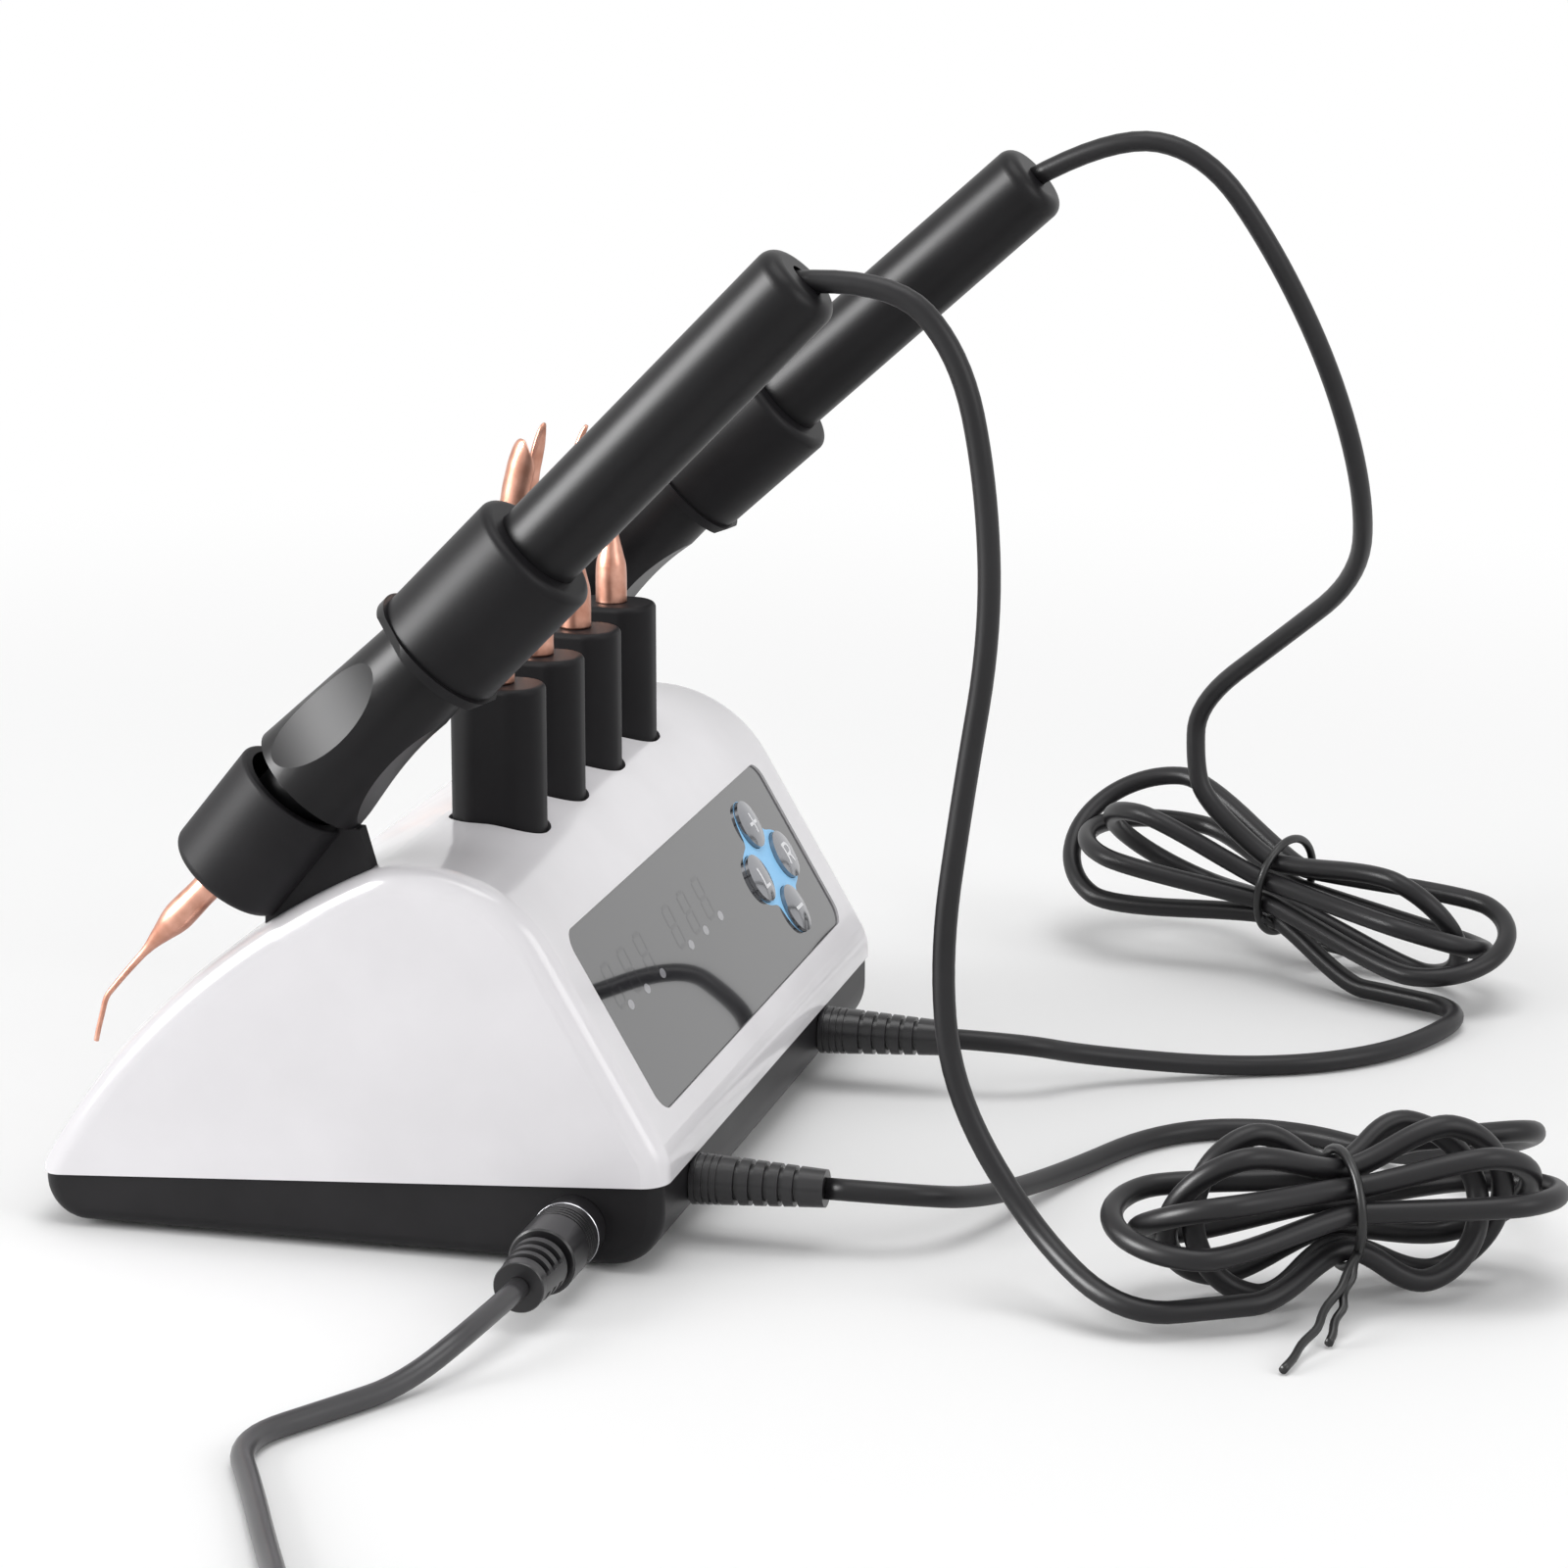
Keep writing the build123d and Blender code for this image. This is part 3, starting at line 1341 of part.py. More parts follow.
# Power adapter at the coil's end, lying flat, with its two blades up
with BuildPart() as power_adapter:
    with BuildSketch(Plane.XY):
        with Locations((coil_out.X - adapter_l / 2, coil_out.Y)):
            Rectangle(adapter_l, adapter_w)
    extrude(amount=adapter_h)
    fillet(power_adapter.edges(), adapter_round)
    with BuildSketch(Plane.XY.offset(adapter_h)):
        with Locations((coil_out.X - adapter_l + prong_inset, coil_out.Y)):
            with GridLocations(0, prong_pitch, 1, 2):
                Rectangle(prong_w, prong_t)
    extrude(amount=-prong_seat, mode=Mode.SUBTRACT)
keep(power_adapter.part, "power_adapter")

with BuildPart() as adapter_prongs:
    with BuildSketch(Plane.XY.offset(adapter_h - prong_seat)):
        with Locations((coil_out.X - adapter_l + prong_inset, coil_out.Y)):
            with GridLocations(0, prong_pitch, 1, 2):
                Rectangle(prong_w, prong_t)
    extrude(amount=prong_l + prong_seat)
keep(adapter_prongs.part, "adapter_prongs")

# Tie across the coil: a flat strap round both layers on one side
strap_x = coil_x
strap_y0 = coil_y - dc_coil_r - dc_coil_step - dc_cord_d / 2
strap_y1 = coil_y - last_r + dc_cord_d / 2
with BuildPart() as dc_tie:
    with BuildSketch(Plane.YZ.offset(strap_x)):
        with Locations(((strap_y0 + strap_y1) / 2, (strap_z0 + strap_z1) / 2)):
            RectangleRounded(strap_y1 - strap_y0 + 2 * strap_gap + 2 * strap_t, strap_z1 - strap_z0, strap_r)
            RectangleRounded(
                strap_y1 - strap_y0 + 2 * strap_gap,
                strap_z1 - strap_z0 - 2 * strap_t,
                strap_r - strap_t,
                mode=Mode.SUBTRACT,
            )
    extrude(amount=strap_w / 2, both=True)
keep(dc_tie.part, "dc_cord_tie")

print(len(names), "pieces")
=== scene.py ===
# Electric wax carver with two pens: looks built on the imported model, in metres, +Z up.
import math

import bmesh
import bpy
import numpy as np
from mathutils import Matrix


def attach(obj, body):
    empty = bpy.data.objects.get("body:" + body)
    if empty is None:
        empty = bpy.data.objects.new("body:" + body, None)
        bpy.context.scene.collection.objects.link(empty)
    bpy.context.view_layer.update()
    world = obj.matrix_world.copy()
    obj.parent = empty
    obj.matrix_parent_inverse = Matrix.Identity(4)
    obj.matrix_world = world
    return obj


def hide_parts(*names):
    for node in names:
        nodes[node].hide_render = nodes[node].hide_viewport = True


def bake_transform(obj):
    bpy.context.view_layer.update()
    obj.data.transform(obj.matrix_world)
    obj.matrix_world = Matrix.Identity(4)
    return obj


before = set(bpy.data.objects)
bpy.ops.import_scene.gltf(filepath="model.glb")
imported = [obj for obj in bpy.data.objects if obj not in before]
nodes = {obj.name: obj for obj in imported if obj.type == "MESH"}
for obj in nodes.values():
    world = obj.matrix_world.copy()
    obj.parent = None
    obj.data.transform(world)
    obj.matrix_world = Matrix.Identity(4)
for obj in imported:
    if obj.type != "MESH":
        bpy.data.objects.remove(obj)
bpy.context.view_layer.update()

# Camera. A long lens stands about 0.9 m away, off the left end of the station
# and above it, and looks a little down along the row of pegs.
look_down, look_round = 14.032, -75.632
camera_data = bpy.data.cameras.new("camera")
camera_data.sensor_width = 36.0
camera_data.lens = 116.69
camera_data.clip_start = 0.05
camera = bpy.data.objects.new("camera", camera_data)
camera.location = (-0.80663, -0.26123, 0.27226)
camera.rotation_euler = (math.radians(90 - look_down), 0.0, math.radians(look_round))
bpy.context.scene.collection.objects.link(camera)
bpy.context.scene.camera = camera
bpy.context.scene.view_settings.view_transform = "Standard"


# Pen cords. Each is one soft lead in extruded silicone, 3.6 mm thick and a little over 1 m long. It
# runs from the plug over the bench into a tied hank, and rises from there to the pen. The skin is
# smooth and deep black, with a dim, narrow sheen along each turn.
def linear(hex_colour):
    """sRGB hex to linear light: a dark channel is divided by 12.92, and a lighter one gets 0.055
    added, is divided by 1.055 and raised to the power 2.4."""
    value = np.array([int(hex_colour[i : i + 2], 16) for i in (1, 3, 5)]) / 255
    low = value / 12.92
    high = ((value + 0.055) / 1.055) ** 2.4
    return (*np.where(value <= 0.04045, low, high), 1.0)


def put(tree, kind, links=(), **settings):
    """Adds one node, sets its properties or sockets by name, and links (socket, other output)."""
    made = tree.nodes.new(kind)
    for name, value in settings.items():
        if hasattr(made, name):
            setattr(made, name, value)
        else:
            made.inputs[name.replace("_", " ")].default_value = value
    for socket, output in links:
        tree.links.new(output, made.inputs[socket])
    return made


def new_material(name):
    """An empty node material with a Principled shader, returned with its tree and that shader."""
    material = bpy.data.materials.new(name)
    material.use_nodes = True
    return material, material.node_tree, material.node_tree.nodes["Principled BSDF"]


def wear(name, dark, light, roughness, spread, grain_mm, bump_mm, **sockets):
    """A finish whose colour and roughness drift over patches of about 18 mm, the roughness by the
    spread to both sides, and whose skin has a fine grain of the given size and height."""
    patch = 0.018
    material, tree, shader = new_material(name)
    place = put(tree, "ShaderNodeTexCoord").outputs["Object"]
    drift = put(tree, "ShaderNodeTexNoise", [("Vector", place)], Scale=1 / patch, Detail=3.0)
    colour = put(tree, "ShaderNodeValToRGB", [("Fac", drift.outputs["Fac"])])
    colour.color_ramp.elements[0].position = 0.35
    colour.color_ramp.elements[0].color = linear(dark)
    colour.color_ramp.elements[1].position = 0.65
    colour.color_ramp.elements[1].color = linear(light)
    rough = put(tree, "ShaderNodeMapRange", [("Value", drift.outputs["Fac"])])
    rough.inputs["To Min"].default_value = roughness - spread
    rough.inputs["To Max"].default_value = roughness + spread
    grain = put(tree, "ShaderNodeTexNoise", [("Vector", place)], Scale=1000 / grain_mm, Detail=2.0)
    bump = put(tree, "ShaderNodeBump", [("Height", grain.outputs["Fac"])],
               Strength=1.0, Distance=bump_mm / 1000)
    tree.links.new(colour.outputs["Color"], shader.inputs["Base Color"])
    tree.links.new(rough.outputs["Result"], shader.inputs["Roughness"])
    tree.links.new(bump.outputs["Normal"], shader.inputs["Normal"])
    for socket, value in sockets.items():
        shader.inputs[socket.replace("_", " ")].default_value = value
    return material


def surface(name, grid, material, body, close_u=False, close_v=False, smooth=True, sealed=False):
    """A mesh from a grid of points (rows, columns, 3), whose last row or column joins the first
    where it closes. Points in one place are merged. A skin that is closed all round, by its rows or
    because it is sealed at both ends, is turned to face outwards."""
    rows, cols = grid.shape[:2]
    index = np.arange(rows * cols).reshape(rows, cols)
    if close_u:
        index = np.vstack([index, index[:1]])
    if close_v:
        index = np.hstack([index, index[:, :1]])
    quads = np.stack([index[:-1, :-1], index[:-1, 1:], index[1:, 1:], index[1:, :-1]], -1)
    mesh = bpy.data.meshes.new(name)
    mesh.from_pydata(grid.reshape(-1, 3).tolist(), [], quads.reshape(-1, 4).tolist())
    merging = bmesh.new()
    merging.from_mesh(mesh)
    bmesh.ops.remove_doubles(merging, verts=merging.verts, dist=1e-7)
    if close_u or sealed:
        bmesh.ops.recalc_face_normals(merging, faces=merging.faces)
    merging.to_mesh(mesh)
    merging.free()
    mesh.polygons.foreach_set("use_smooth", np.full(len(mesh.polygons), smooth))
    mesh.materials.append(material)
    piece = bpy.data.objects.new(name, mesh)
    bpy.context.scene.collection.objects.link(piece)
    if body:
        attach(piece, body)
    return piece


def unit(vector):
    """The vector divided by its own length."""
    return np.asarray(vector, float) / np.linalg.norm(vector)


def followed(route):
    """The points, in metres, of a smooth NURBS line of order 3 whose control points are the route,
    in millimetres."""
    curve = bpy.data.curves.new("line", "CURVE")
    curve.dimensions = "3D"
    spline = curve.splines.new("NURBS")
    spline.points.add(len(route) - 1)
    points = np.column_stack([np.array(route) / 1000, np.ones(len(route))])
    spline.points.foreach_set("co", points.ravel())
    spline.order_u = 3
    spline.use_endpoint_u = True
    spline.resolution_u = 8
    line = bpy.data.objects.new("line", curve)
    mesh = bpy.data.meshes.new_from_object(line)
    spots = np.zeros(len(mesh.vertices) * 3)
    mesh.vertices.foreach_get("co", spots)
    bpy.data.objects.remove(line)
    spots = spots.reshape(-1, 3)
    step = np.linalg.norm(np.diff(spots, axis=0), axis=1)
    return spots[np.r_[True, step > 1e-7]]


def tube(name, line, radii, material, body, sides=20, wide=None, first=None, cup=0.0):
    """A section carried along a line: its frame turns with the line's tangent and never twists.
    The half widths are radii on the side named by first, and wide the other way where it is given.
    Cup moves the section's two edges back by that much, as in a spoon. Both ends close in a
    point."""
    line = np.asarray(line, float)
    tangent = np.gradient(line, axis=0)
    tangent /= np.linalg.norm(tangent, axis=1)[:, None]
    aside = np.eye(3)[np.argmin(np.abs(tangent[0]))] if first is None else np.array(first, float)
    across = np.zeros_like(line)
    across[0] = unit(aside - tangent[0] * (aside @ tangent[0]))
    for i in range(1, len(line)):
        across[i] = unit(across[i - 1] - tangent[i] * (across[i - 1] @ tangent[i]))
    other = np.cross(tangent, across)
    angle = np.arange(sides) * 2 * np.pi / sides
    radii = np.broadcast_to(radii, len(line))
    wide = radii if wide is None else wide
    cup = np.broadcast_to(cup, len(line))
    rings = line[:, None] + across[:, None] * (np.cos(angle) * radii[:, None])[..., None]
    depth = np.sin(angle) * wide[:, None] - np.cos(angle) ** 2 * cup[:, None]
    rings = rings + other[:, None] * depth[..., None]
    first_end = np.repeat(line[:1, None], sides, 1)
    last_end = np.repeat(line[-1:, None], sides, 1)
    skin = np.concatenate([first_end, rings, last_end])
    return surface(name, skin, material, body, close_v=True, sealed=True)


# Control points lie 3% outside the arc that they are for, because the line runs inside them.
outside_arc = 1.03


def hank_route(centre, along, side, waist_angle, rights, lefts, enter, leave):
    """Loops to both sides of a tied waist. At each crossing the line passes the waist at 6.6 mm
    from the axis, then goes round a loop of the given reach and radius, and comes back turned half
    about the axis; each loop on the left also turns it 36 degrees on. The line comes in and goes
    out straight for 7 mm. Angles are about the axis, lengths in millimetres."""
    off_axis, half_waist, turn_on, straight = 6.6, 2.5, 18, 7.0
    along, side = unit(along), unit(side)
    third = np.cross(along, side)

    def spot(s, r, degrees):
        a = math.radians(degrees)
        return np.array(centre) + along * s + side * (r * math.cos(a)) + third * (r * math.sin(a))

    def crossing(heading, angle):
        return [spot(heading * s, off_axis, angle) for s in (-half_waist, half_waist)]

    def aimed(direction):
        return unit(along * direction[0] + side * direction[1] + third * direction[2])

    start = spot(-enter[0], enter[1], enter[2])
    end = spot(leave[0], leave[1], leave[2])
    route = [start - aimed(enter[3]) * straight, start]
    angle, heading = waist_angle, 1
    for reach, radius in [loop for pair in zip(rights, lefts) for loop in pair]:
        route += crossing(heading, angle)
        turn = 0 if heading > 0 else turn_on
        swell = outside_arc * radius
        for phi in np.radians((-90, -60, -30, 0, 30, 60, 90)):
            forward = heading * (reach + swell * math.cos(phi))
            route.append(spot(forward, -swell * math.sin(phi), angle + turn))
        angle += 180 + 2 * turn
        heading = -heading
    route += crossing(1, angle)
    return route + [end, end + aimed(leave[3]) * straight]


silicone = wear("black_silicone_jacket", "#171618", "#1e1d1f", 0.4, 0.05, 0.3, 0.002,
                Specular_IOR_Level=0.32)
cord_radius, loop_step = 0.0018, 4.2
left_waist, left_axis = (-53, -158, 15.1), (0.5, -0.866, 0)
right_waist, right_axis = (130, -120.6, 16.8), (-0.42, -0.906, -0.122)
cord_sets = {
    "left": {
        "pen": (-64.8, -71.9, 159.25),
        "fall": [
            (-64.8, -87.8, 160.9), (-65.2, -98.8, 149.5), (-65.5, -103, 130), (-65.5, -104, 107),
            (-65.5, -99.8, 81), (-65.5, -96.3, 55), (-65.6, -98.5, 33), (-67.5, -112, 12),
            (-81.99, -129.01, 4.49),
        ],
        "hank": hank_route(
            left_waist, left_axis, (0.866, 0.5, 0), -117,
            [(10.3 + loop_step * i, 13) for i in range(4)],
            [(11.5 + loop_step * i, 13) for i in range(4)],
            (15, 15, -135, (1, 0, 0)), (14.5, 13, 27, (1, 0, 0)),
        ),
        "lead": [
            (-22.9, -186.9, 21), (-4, -180, 12), (13, -160, 1.9), (26, -138, 1.9),
            (19, -117, 1.9), (-10, -104.5, 1.9), (-38, -97.5, 6.6), (-51, -89.25, 10.6),
        ],
        "plug": (-51, -74.75, 10.6),
    },
    "right": {
        "pen": (64.8, -81.9, 158.9),
        "fall": [
            (64.8, -97.1, 167.7), (65.5, -113.5, 165), (70.5, -125, 147.5), (76.5, -135, 125),
            (85, -140, 102), (104, -137, 83), (121, -120, 67), (131.6, -102.5, 51.5),
        ],
        "hank": hank_route(
            right_waist, right_axis, (0.907, -0.42, 0), 126,
            [(25.2 + loop_step * i, 14) for i in range(3)],
            [(22.2 + loop_step * i, 17) for i in range(3)],
            (16, 16, 117, (0.436, 0, -0.9)), (22, 14.6, 234, (1, 0, 0.123)),
        ),
        "lead": [
            (102.0, -160.5, 2.4), (79, -152, 1.9), (65, -139, 1.9), (58, -121, 1.9),
            (46, -97.5, 6), (35, -89.25, 10.6),
        ],
        "plug": (35, -74.75, 10.6),
    },
}
for side, parts in cord_sets.items():
    route = [parts["pen"], *parts["fall"], *parts["hank"], *parts["lead"], parts["plug"]]
    line = followed(route[::-1])
    spots = line[::2] if len(line) % 2 else [*line[::2], line[-1]]
    cord = tube(f"{side}_cord", line, cord_radius, silicone, None)
    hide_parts(f"{side}_cord_fall", f"{side}_cord_hank", f"{side}_cord_lead")
    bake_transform(cord)

# Twist ties. A wire coated in black plastic, with a dull glint, is wrapped once round each hank's
# waist, and its two ends are twisted off below and reach the bench.
tie_wire = wear("plastic_coated_tie_wire", "#0f0f10", "#161617", 0.35, 0.05, 0.4, 0.004)
tie_sets = {
    "left": (left_waist, left_axis, [(-89, -155, 0.9), (-76, -160, 0.9)]),
    "right": (right_waist, right_axis, [(137.5, -139, 0.9), (143, -131, 0.9)]),
}
band_radius, band_wire, root_angle = 9.25, 0.8, math.radians(30)
end_radius, end_sags, end_turns, end_swing = 0.0007, (1.5, 0.45), 3, 0.35
round_band = np.linspace(0, 2 * np.pi, 73)[:-1, None]
round_wire = np.arange(12)[None, :, None] * np.pi / 6
share = np.linspace(0, 1, 24)[:, None]
twist = 2 * np.pi * end_turns * share
swing = end_swing * np.sin(np.pi * share) * np.hstack([np.cos(twist), np.sin(twist), 0 * twist])
for side, (centre, along, tail_ends) in tie_sets.items():
    along = unit(along)
    level = unit(np.cross((0, 0, 1), along))
    upward = np.cross(along, level)
    outward = np.cos(round_band) * level + np.sin(round_band) * upward
    ring = np.array(centre) + band_radius * outward
    skin = np.cos(round_wire) * outward[:, None] + np.sin(round_wire) * along
    band = surface(f"{side}_tie_band", (ring[:, None] + band_wire * skin) / 1000, tie_wire,
                   "station", close_u=True, close_v=True)
    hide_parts(f"{side}_cord_tie")
    root = math.cos(root_angle) * level + math.sin(root_angle) * upward
    root = np.array(centre) - band_radius * root
    for number, (tail_end, sag) in enumerate(zip(tail_ends, end_sags), start=1):
        tail = root + (np.array(tail_end) - root) * share
        tail[:, 2] -= sag * np.sin(np.pi * share[:, 0])
        wire = tube(f"{side}_tie_end_{number}", (tail + swing) / 1000, end_radius, tie_wire,
                    "station", sides=10)


# Supply lead. A 3.5 mm round lead in extruded vinyl bends twice on the bench and ends beside the
# station in a coil of two layers, tied with a strap, with its adapter at the end. Vinyl is a shade
# paler than silicone, and its smooth skin has a sharper glint.
def dress(material, *names):
    """Gives CAD nodes their finish in place of the one they were packed with."""
    for name in names:
        mesh = nodes[name].data
        mesh.materials.clear()
        mesh.materials.append(material)


vinyl = wear("black_vinyl_lead", "#353436", "#403f41", 0.3, 0.04, 0.4, 0.003,
             Specular_IOR_Level=0.5)
# The half turns get smaller towards the middle, where one climbs to the second layer, and larger
# again above.
half_turns = [26 - 2 * i for i in range(7)] + [10] + [12 + 2 * i for i in range(8)]
lead_radius, climbing, layer_rise, spots_each = 0.00175, 7, 4.1, 6
coil_route = []
x, y, z, heading = -240.0, -40.0, 2.75, 1
for number, radius in enumerate(half_turns):
    rise = layer_rise if number == climbing else 0.0
    swell = outside_arc * radius
    for step in range(spots_each):
        phi = math.radians(15 + 30 * step)
        coil_route.append((
            x - heading * swell * math.sin(phi),
            y - heading * (radius - swell * math.cos(phi)),
            z + rise * (step + 0.5) / spots_each,
        ))
    y -= 2 * radius * heading
    z += rise
    heading = -heading
supply_route = [
    (-100.3, -38.1, 7.5), (-115, -37, 7.3), (-130, -29.5, 1.85), (-142, -22.5, 1.85),
    (-157.5, -13, 1.85), (-174, -21.5, 1.85), (-192, -30, 1.85), (-212.5, -40, 2.75),
    (-236.5, -40, 2.75), *coil_route, (-246, y, z), (-272, y, z),
]
supply_line = followed(supply_route)
supply = tube("supply_lead", supply_line, lead_radius, vinyl, "station")
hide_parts("dc_cord", "dc_cord_coil")
dress(tie_wire, "dc_cord_tie")


# Floor and light. A bench top in pale matt paint runs into a white surround. Three large soft boxes
# stand above, behind and before the station. A fourth, beside the one behind, shows in reflections
# only: it gives the black pens and cords their long soft sheen.
def on_rays(tree, *kinds):
    """1 on rays of these kinds and 0 on others: their Light Path outputs added up, to 1 at most."""
    seen = put(tree, "ShaderNodeLightPath").outputs
    total = seen[kinds[0]]
    for kind in kinds[1:]:
        total = put(tree, "ShaderNodeMath", [(0, total), (1, seen[kind])],
                    operation="ADD", use_clamp=True).outputs[0]
    return total


bench_paint, tree, shader = new_material("pale_matt_bench_paint")
shader.inputs["Base Color"].default_value = linear("#f4f4f4")
shader.inputs["Roughness"].default_value = 0.75
place = put(tree, "ShaderNodeTexCoord").outputs["Object"]
distance = put(tree, "ShaderNodeVectorMath", [(0, place)], operation="LENGTH").outputs["Value"]
fade = put(tree, "ShaderNodeMapRange", [("Value", distance)], interpolation_type="SMOOTHSTEP")
fade.inputs["From Min"].default_value = 0.2
fade.inputs["From Max"].default_value = 0.6
white = put(tree, "ShaderNodeEmission", Color=(1, 1, 1, 1), Strength=1.0)
rays = on_rays(tree, "Is Camera Ray", "Is Glossy Ray")
faded = put(tree, "ShaderNodeMath", [(0, rays), (1, fade.outputs["Result"])], operation="MULTIPLY")
mixed = put(tree, "ShaderNodeMixShader",
            [(0, faded.outputs[0]), (1, shader.outputs[0]), (2, white.outputs[0])])
tree.links.new(mixed.outputs[0], tree.nodes["Material Output"].inputs["Surface"])
corners = np.array([[[-6, -6, 0], [6, -6, 0]], [[-6, 6, 0], [6, 6, 0]]], float)
floor = surface("floor", corners, bench_paint, None, smooth=False)

world = bpy.data.worlds.new("surround")
world.use_nodes = True
bpy.context.scene.world = world
tree = world.node_tree
soft = tree.nodes["Background"]
soft.inputs["Color"].default_value = (1, 1, 1, 1)
soft.inputs["Strength"].default_value = 0.5
bright = put(tree, "ShaderNodeBackground", Color=(1, 1, 1, 1), Strength=1.0)
rays = on_rays(tree, "Is Camera Ray", "Is Glossy Ray", "Is Transmission Ray")
mixed = put(tree, "ShaderNodeMixShader", [(0, rays), (1, soft.outputs[0]), (2, bright.outputs[0])])
tree.links.new(mixed.outputs[0], tree.nodes["World Output"].inputs["Surface"])

station_middle = np.array((0, -0.03, 0.06))
for name, spot, size, power, lights_matt in (
    ("box_above", (-0.1, -0.2, 1.5), 1.0, 9.0, True),
    ("box_behind", (-0.75, 1.15, 0.55), 0.7, 9.0, True),
    ("box_front", (-0.5, -1.5, 0.8), 0.9, 7.0, True),
    ("sheen_card", (-0.72, 1.1, 0.62), 0.75, 43.0, False),
):
    lamp_data = bpy.data.lights.new(name, "AREA")
    lamp_data.size = size
    lamp_data.energy = power
    lamp = bpy.data.objects.new(name, lamp_data)
    lamp.location = spot
    lamp.visible_diffuse = lights_matt
    aim = station_middle - np.array(spot)
    tilt = math.atan2(math.hypot(aim[0], aim[1]), -aim[2])
    lamp.rotation_euler = (tilt, 0, math.atan2(-aim[0], aim[1]))
    bpy.context.scene.collection.objects.link(lamp)

# Shell. The white upper half is one injection-moulded ABS part with a polished, faintly lilac skin,
# in which the soft boxes show as broad, clear glints. Four screws from below hold it to the base.
shell_abs = wear("polished_white_abs", "#e0dee1", "#e4e2e5", 0.2, 0.03, 0.9, 0.0025,
                 IOR=1.53, Coat_Weight=0.25, Coat_Roughness=0.08)
dress(shell_abs, "upper_housing")

# Base. The lower half, and the plate that clamps the pegs from inside, are black ABS from a
# spark-eroded mould, whose fine texture spreads the light to an even satin. Four moulded feet in
# dull black rubber carry it.
base_abs = wear("spark_textured_black_abs", "#181719", "#1f1e20", 0.4, 0.05, 0.35, 0.012,
                Specular_IOR_Level=0.2)
dress(base_abs, "base_tray", "holder_plate")
foot_rubber = wear("moulded_black_rubber", "#161616", "#1e1e1e", 0.7, 0.05, 0.5, 0.02)
dress(foot_rubber, "rubber_feet")

# Window. Cast smoked acrylic with a mirror-smooth face lies in a pocket of the front slope, which
# rises at 60 degrees. A sky-blue star, printed and duller than the acrylic, joins the four buttons,
# and the unlit digits of the two displays hardly stand out from the smoke round them.
slope_corner = np.array((0.0, -27.0, 64.5))
slope_up = np.array((0.0, 0.5, math.sin(math.radians(60))))
slope_out = np.array((0.0, -math.sin(math.radians(60)), 0.5))
corner_to_centre = 30.1
slope_centre = slope_corner - corner_to_centre * slope_up


def on_slope(u, v, height):
    """The place in metres of u along X, v up the slope and height out of it, in millimetres from
    the middle of the panel: that middle plus each of the three times its direction."""
    u, v, height = np.broadcast_arrays(u, v, height)
    along, up = u[..., None] * np.eye(3)[0], v[..., None] * slope_up
    return (slope_centre + along + up + height[..., None] * slope_out) / 1000


# The star is printed where the pull of the four buttons adds up to 0.0975 or more. Each pulls with
# its distance in millimetres to the power -1.7.
star_middle, star_power, star_edge = 40.8, -1.7, (0.0965, 0.0985)
acrylic, tree, shader = new_material("smoked_acrylic_window")
place = put(tree, "ShaderNodeTexCoord").outputs["Object"]
axes = put(tree, "ShaderNodeSeparateXYZ", [(0, place)])
across = put(tree, "ShaderNodeMath", [(0, axes.outputs["X"])], operation="SUBTRACT")
across.inputs[1].default_value = star_middle / 1000
up = put(tree, "ShaderNodeVectorMath", [(0, place)], operation="DOT_PRODUCT")
up.inputs[1].default_value = tuple(slope_up)
up = put(tree, "ShaderNodeMath", [(0, up.outputs["Value"])], operation="SUBTRACT")
up.inputs[1].default_value = float(slope_centre @ slope_up) / 1000
flat = put(tree, "ShaderNodeCombineXYZ", [("X", across.outputs[0]), ("Y", up.outputs[0])])
pull = None
for u, v in ((0, 8.55), (0, -8.55), (8.7, 0), (-8.7, 0)):
    reach = put(tree, "ShaderNodeVectorMath", [(0, flat.outputs[0])], operation="DISTANCE")
    reach.inputs[1].default_value = (u / 1000, v / 1000, 0)
    one = put(tree, "ShaderNodeMath", [(0, reach.outputs["Value"])], operation="MULTIPLY")
    one.inputs[1].default_value = 1000.0
    one = put(tree, "ShaderNodeMath", [(0, one.outputs[0])], operation="POWER")
    one.inputs[1].default_value = star_power
    pull = one if pull is None else put(
        tree, "ShaderNodeMath", [(0, pull.outputs[0]), (1, one.outputs[0])], operation="ADD")
edge = put(tree, "ShaderNodeMapRange", [("Value", pull.outputs[0])])
edge.inputs["From Min"].default_value, edge.inputs["From Max"].default_value = star_edge
inside = edge.outputs["Result"]
haze = put(tree, "ShaderNodeTexNoise", [("Vector", place)], Scale=60.0, Detail=2.0)
smoke = put(tree, "ShaderNodeValToRGB", [("Fac", haze.outputs["Fac"])])
smoke.color_ramp.elements[0].color = linear("#232326")
smoke.color_ramp.elements[1].color = linear("#2b2b2e")
ink = put(tree, "ShaderNodeMixRGB", [("Fac", inside), ("Color1", smoke.outputs["Color"])])
ink.inputs["Color2"].default_value = linear("#93cffb")
tree.links.new(ink.outputs["Color"], shader.inputs["Base Color"])
for socket, on_smoke, on_ink in (("Roughness", 0.05, 0.45), ("Coat Weight", 0.75, 0.0)):
    value = put(tree, "ShaderNodeMapRange", [("Value", inside)])
    value.inputs["To Min"].default_value = on_smoke
    value.inputs["To Max"].default_value = on_ink
    tree.links.new(value.outputs["Result"], shader.inputs[socket])
shader.inputs["IOR"].default_value = 1.49
shader.inputs["Coat Roughness"].default_value = 0.02
dress(acrylic, "panel_window")

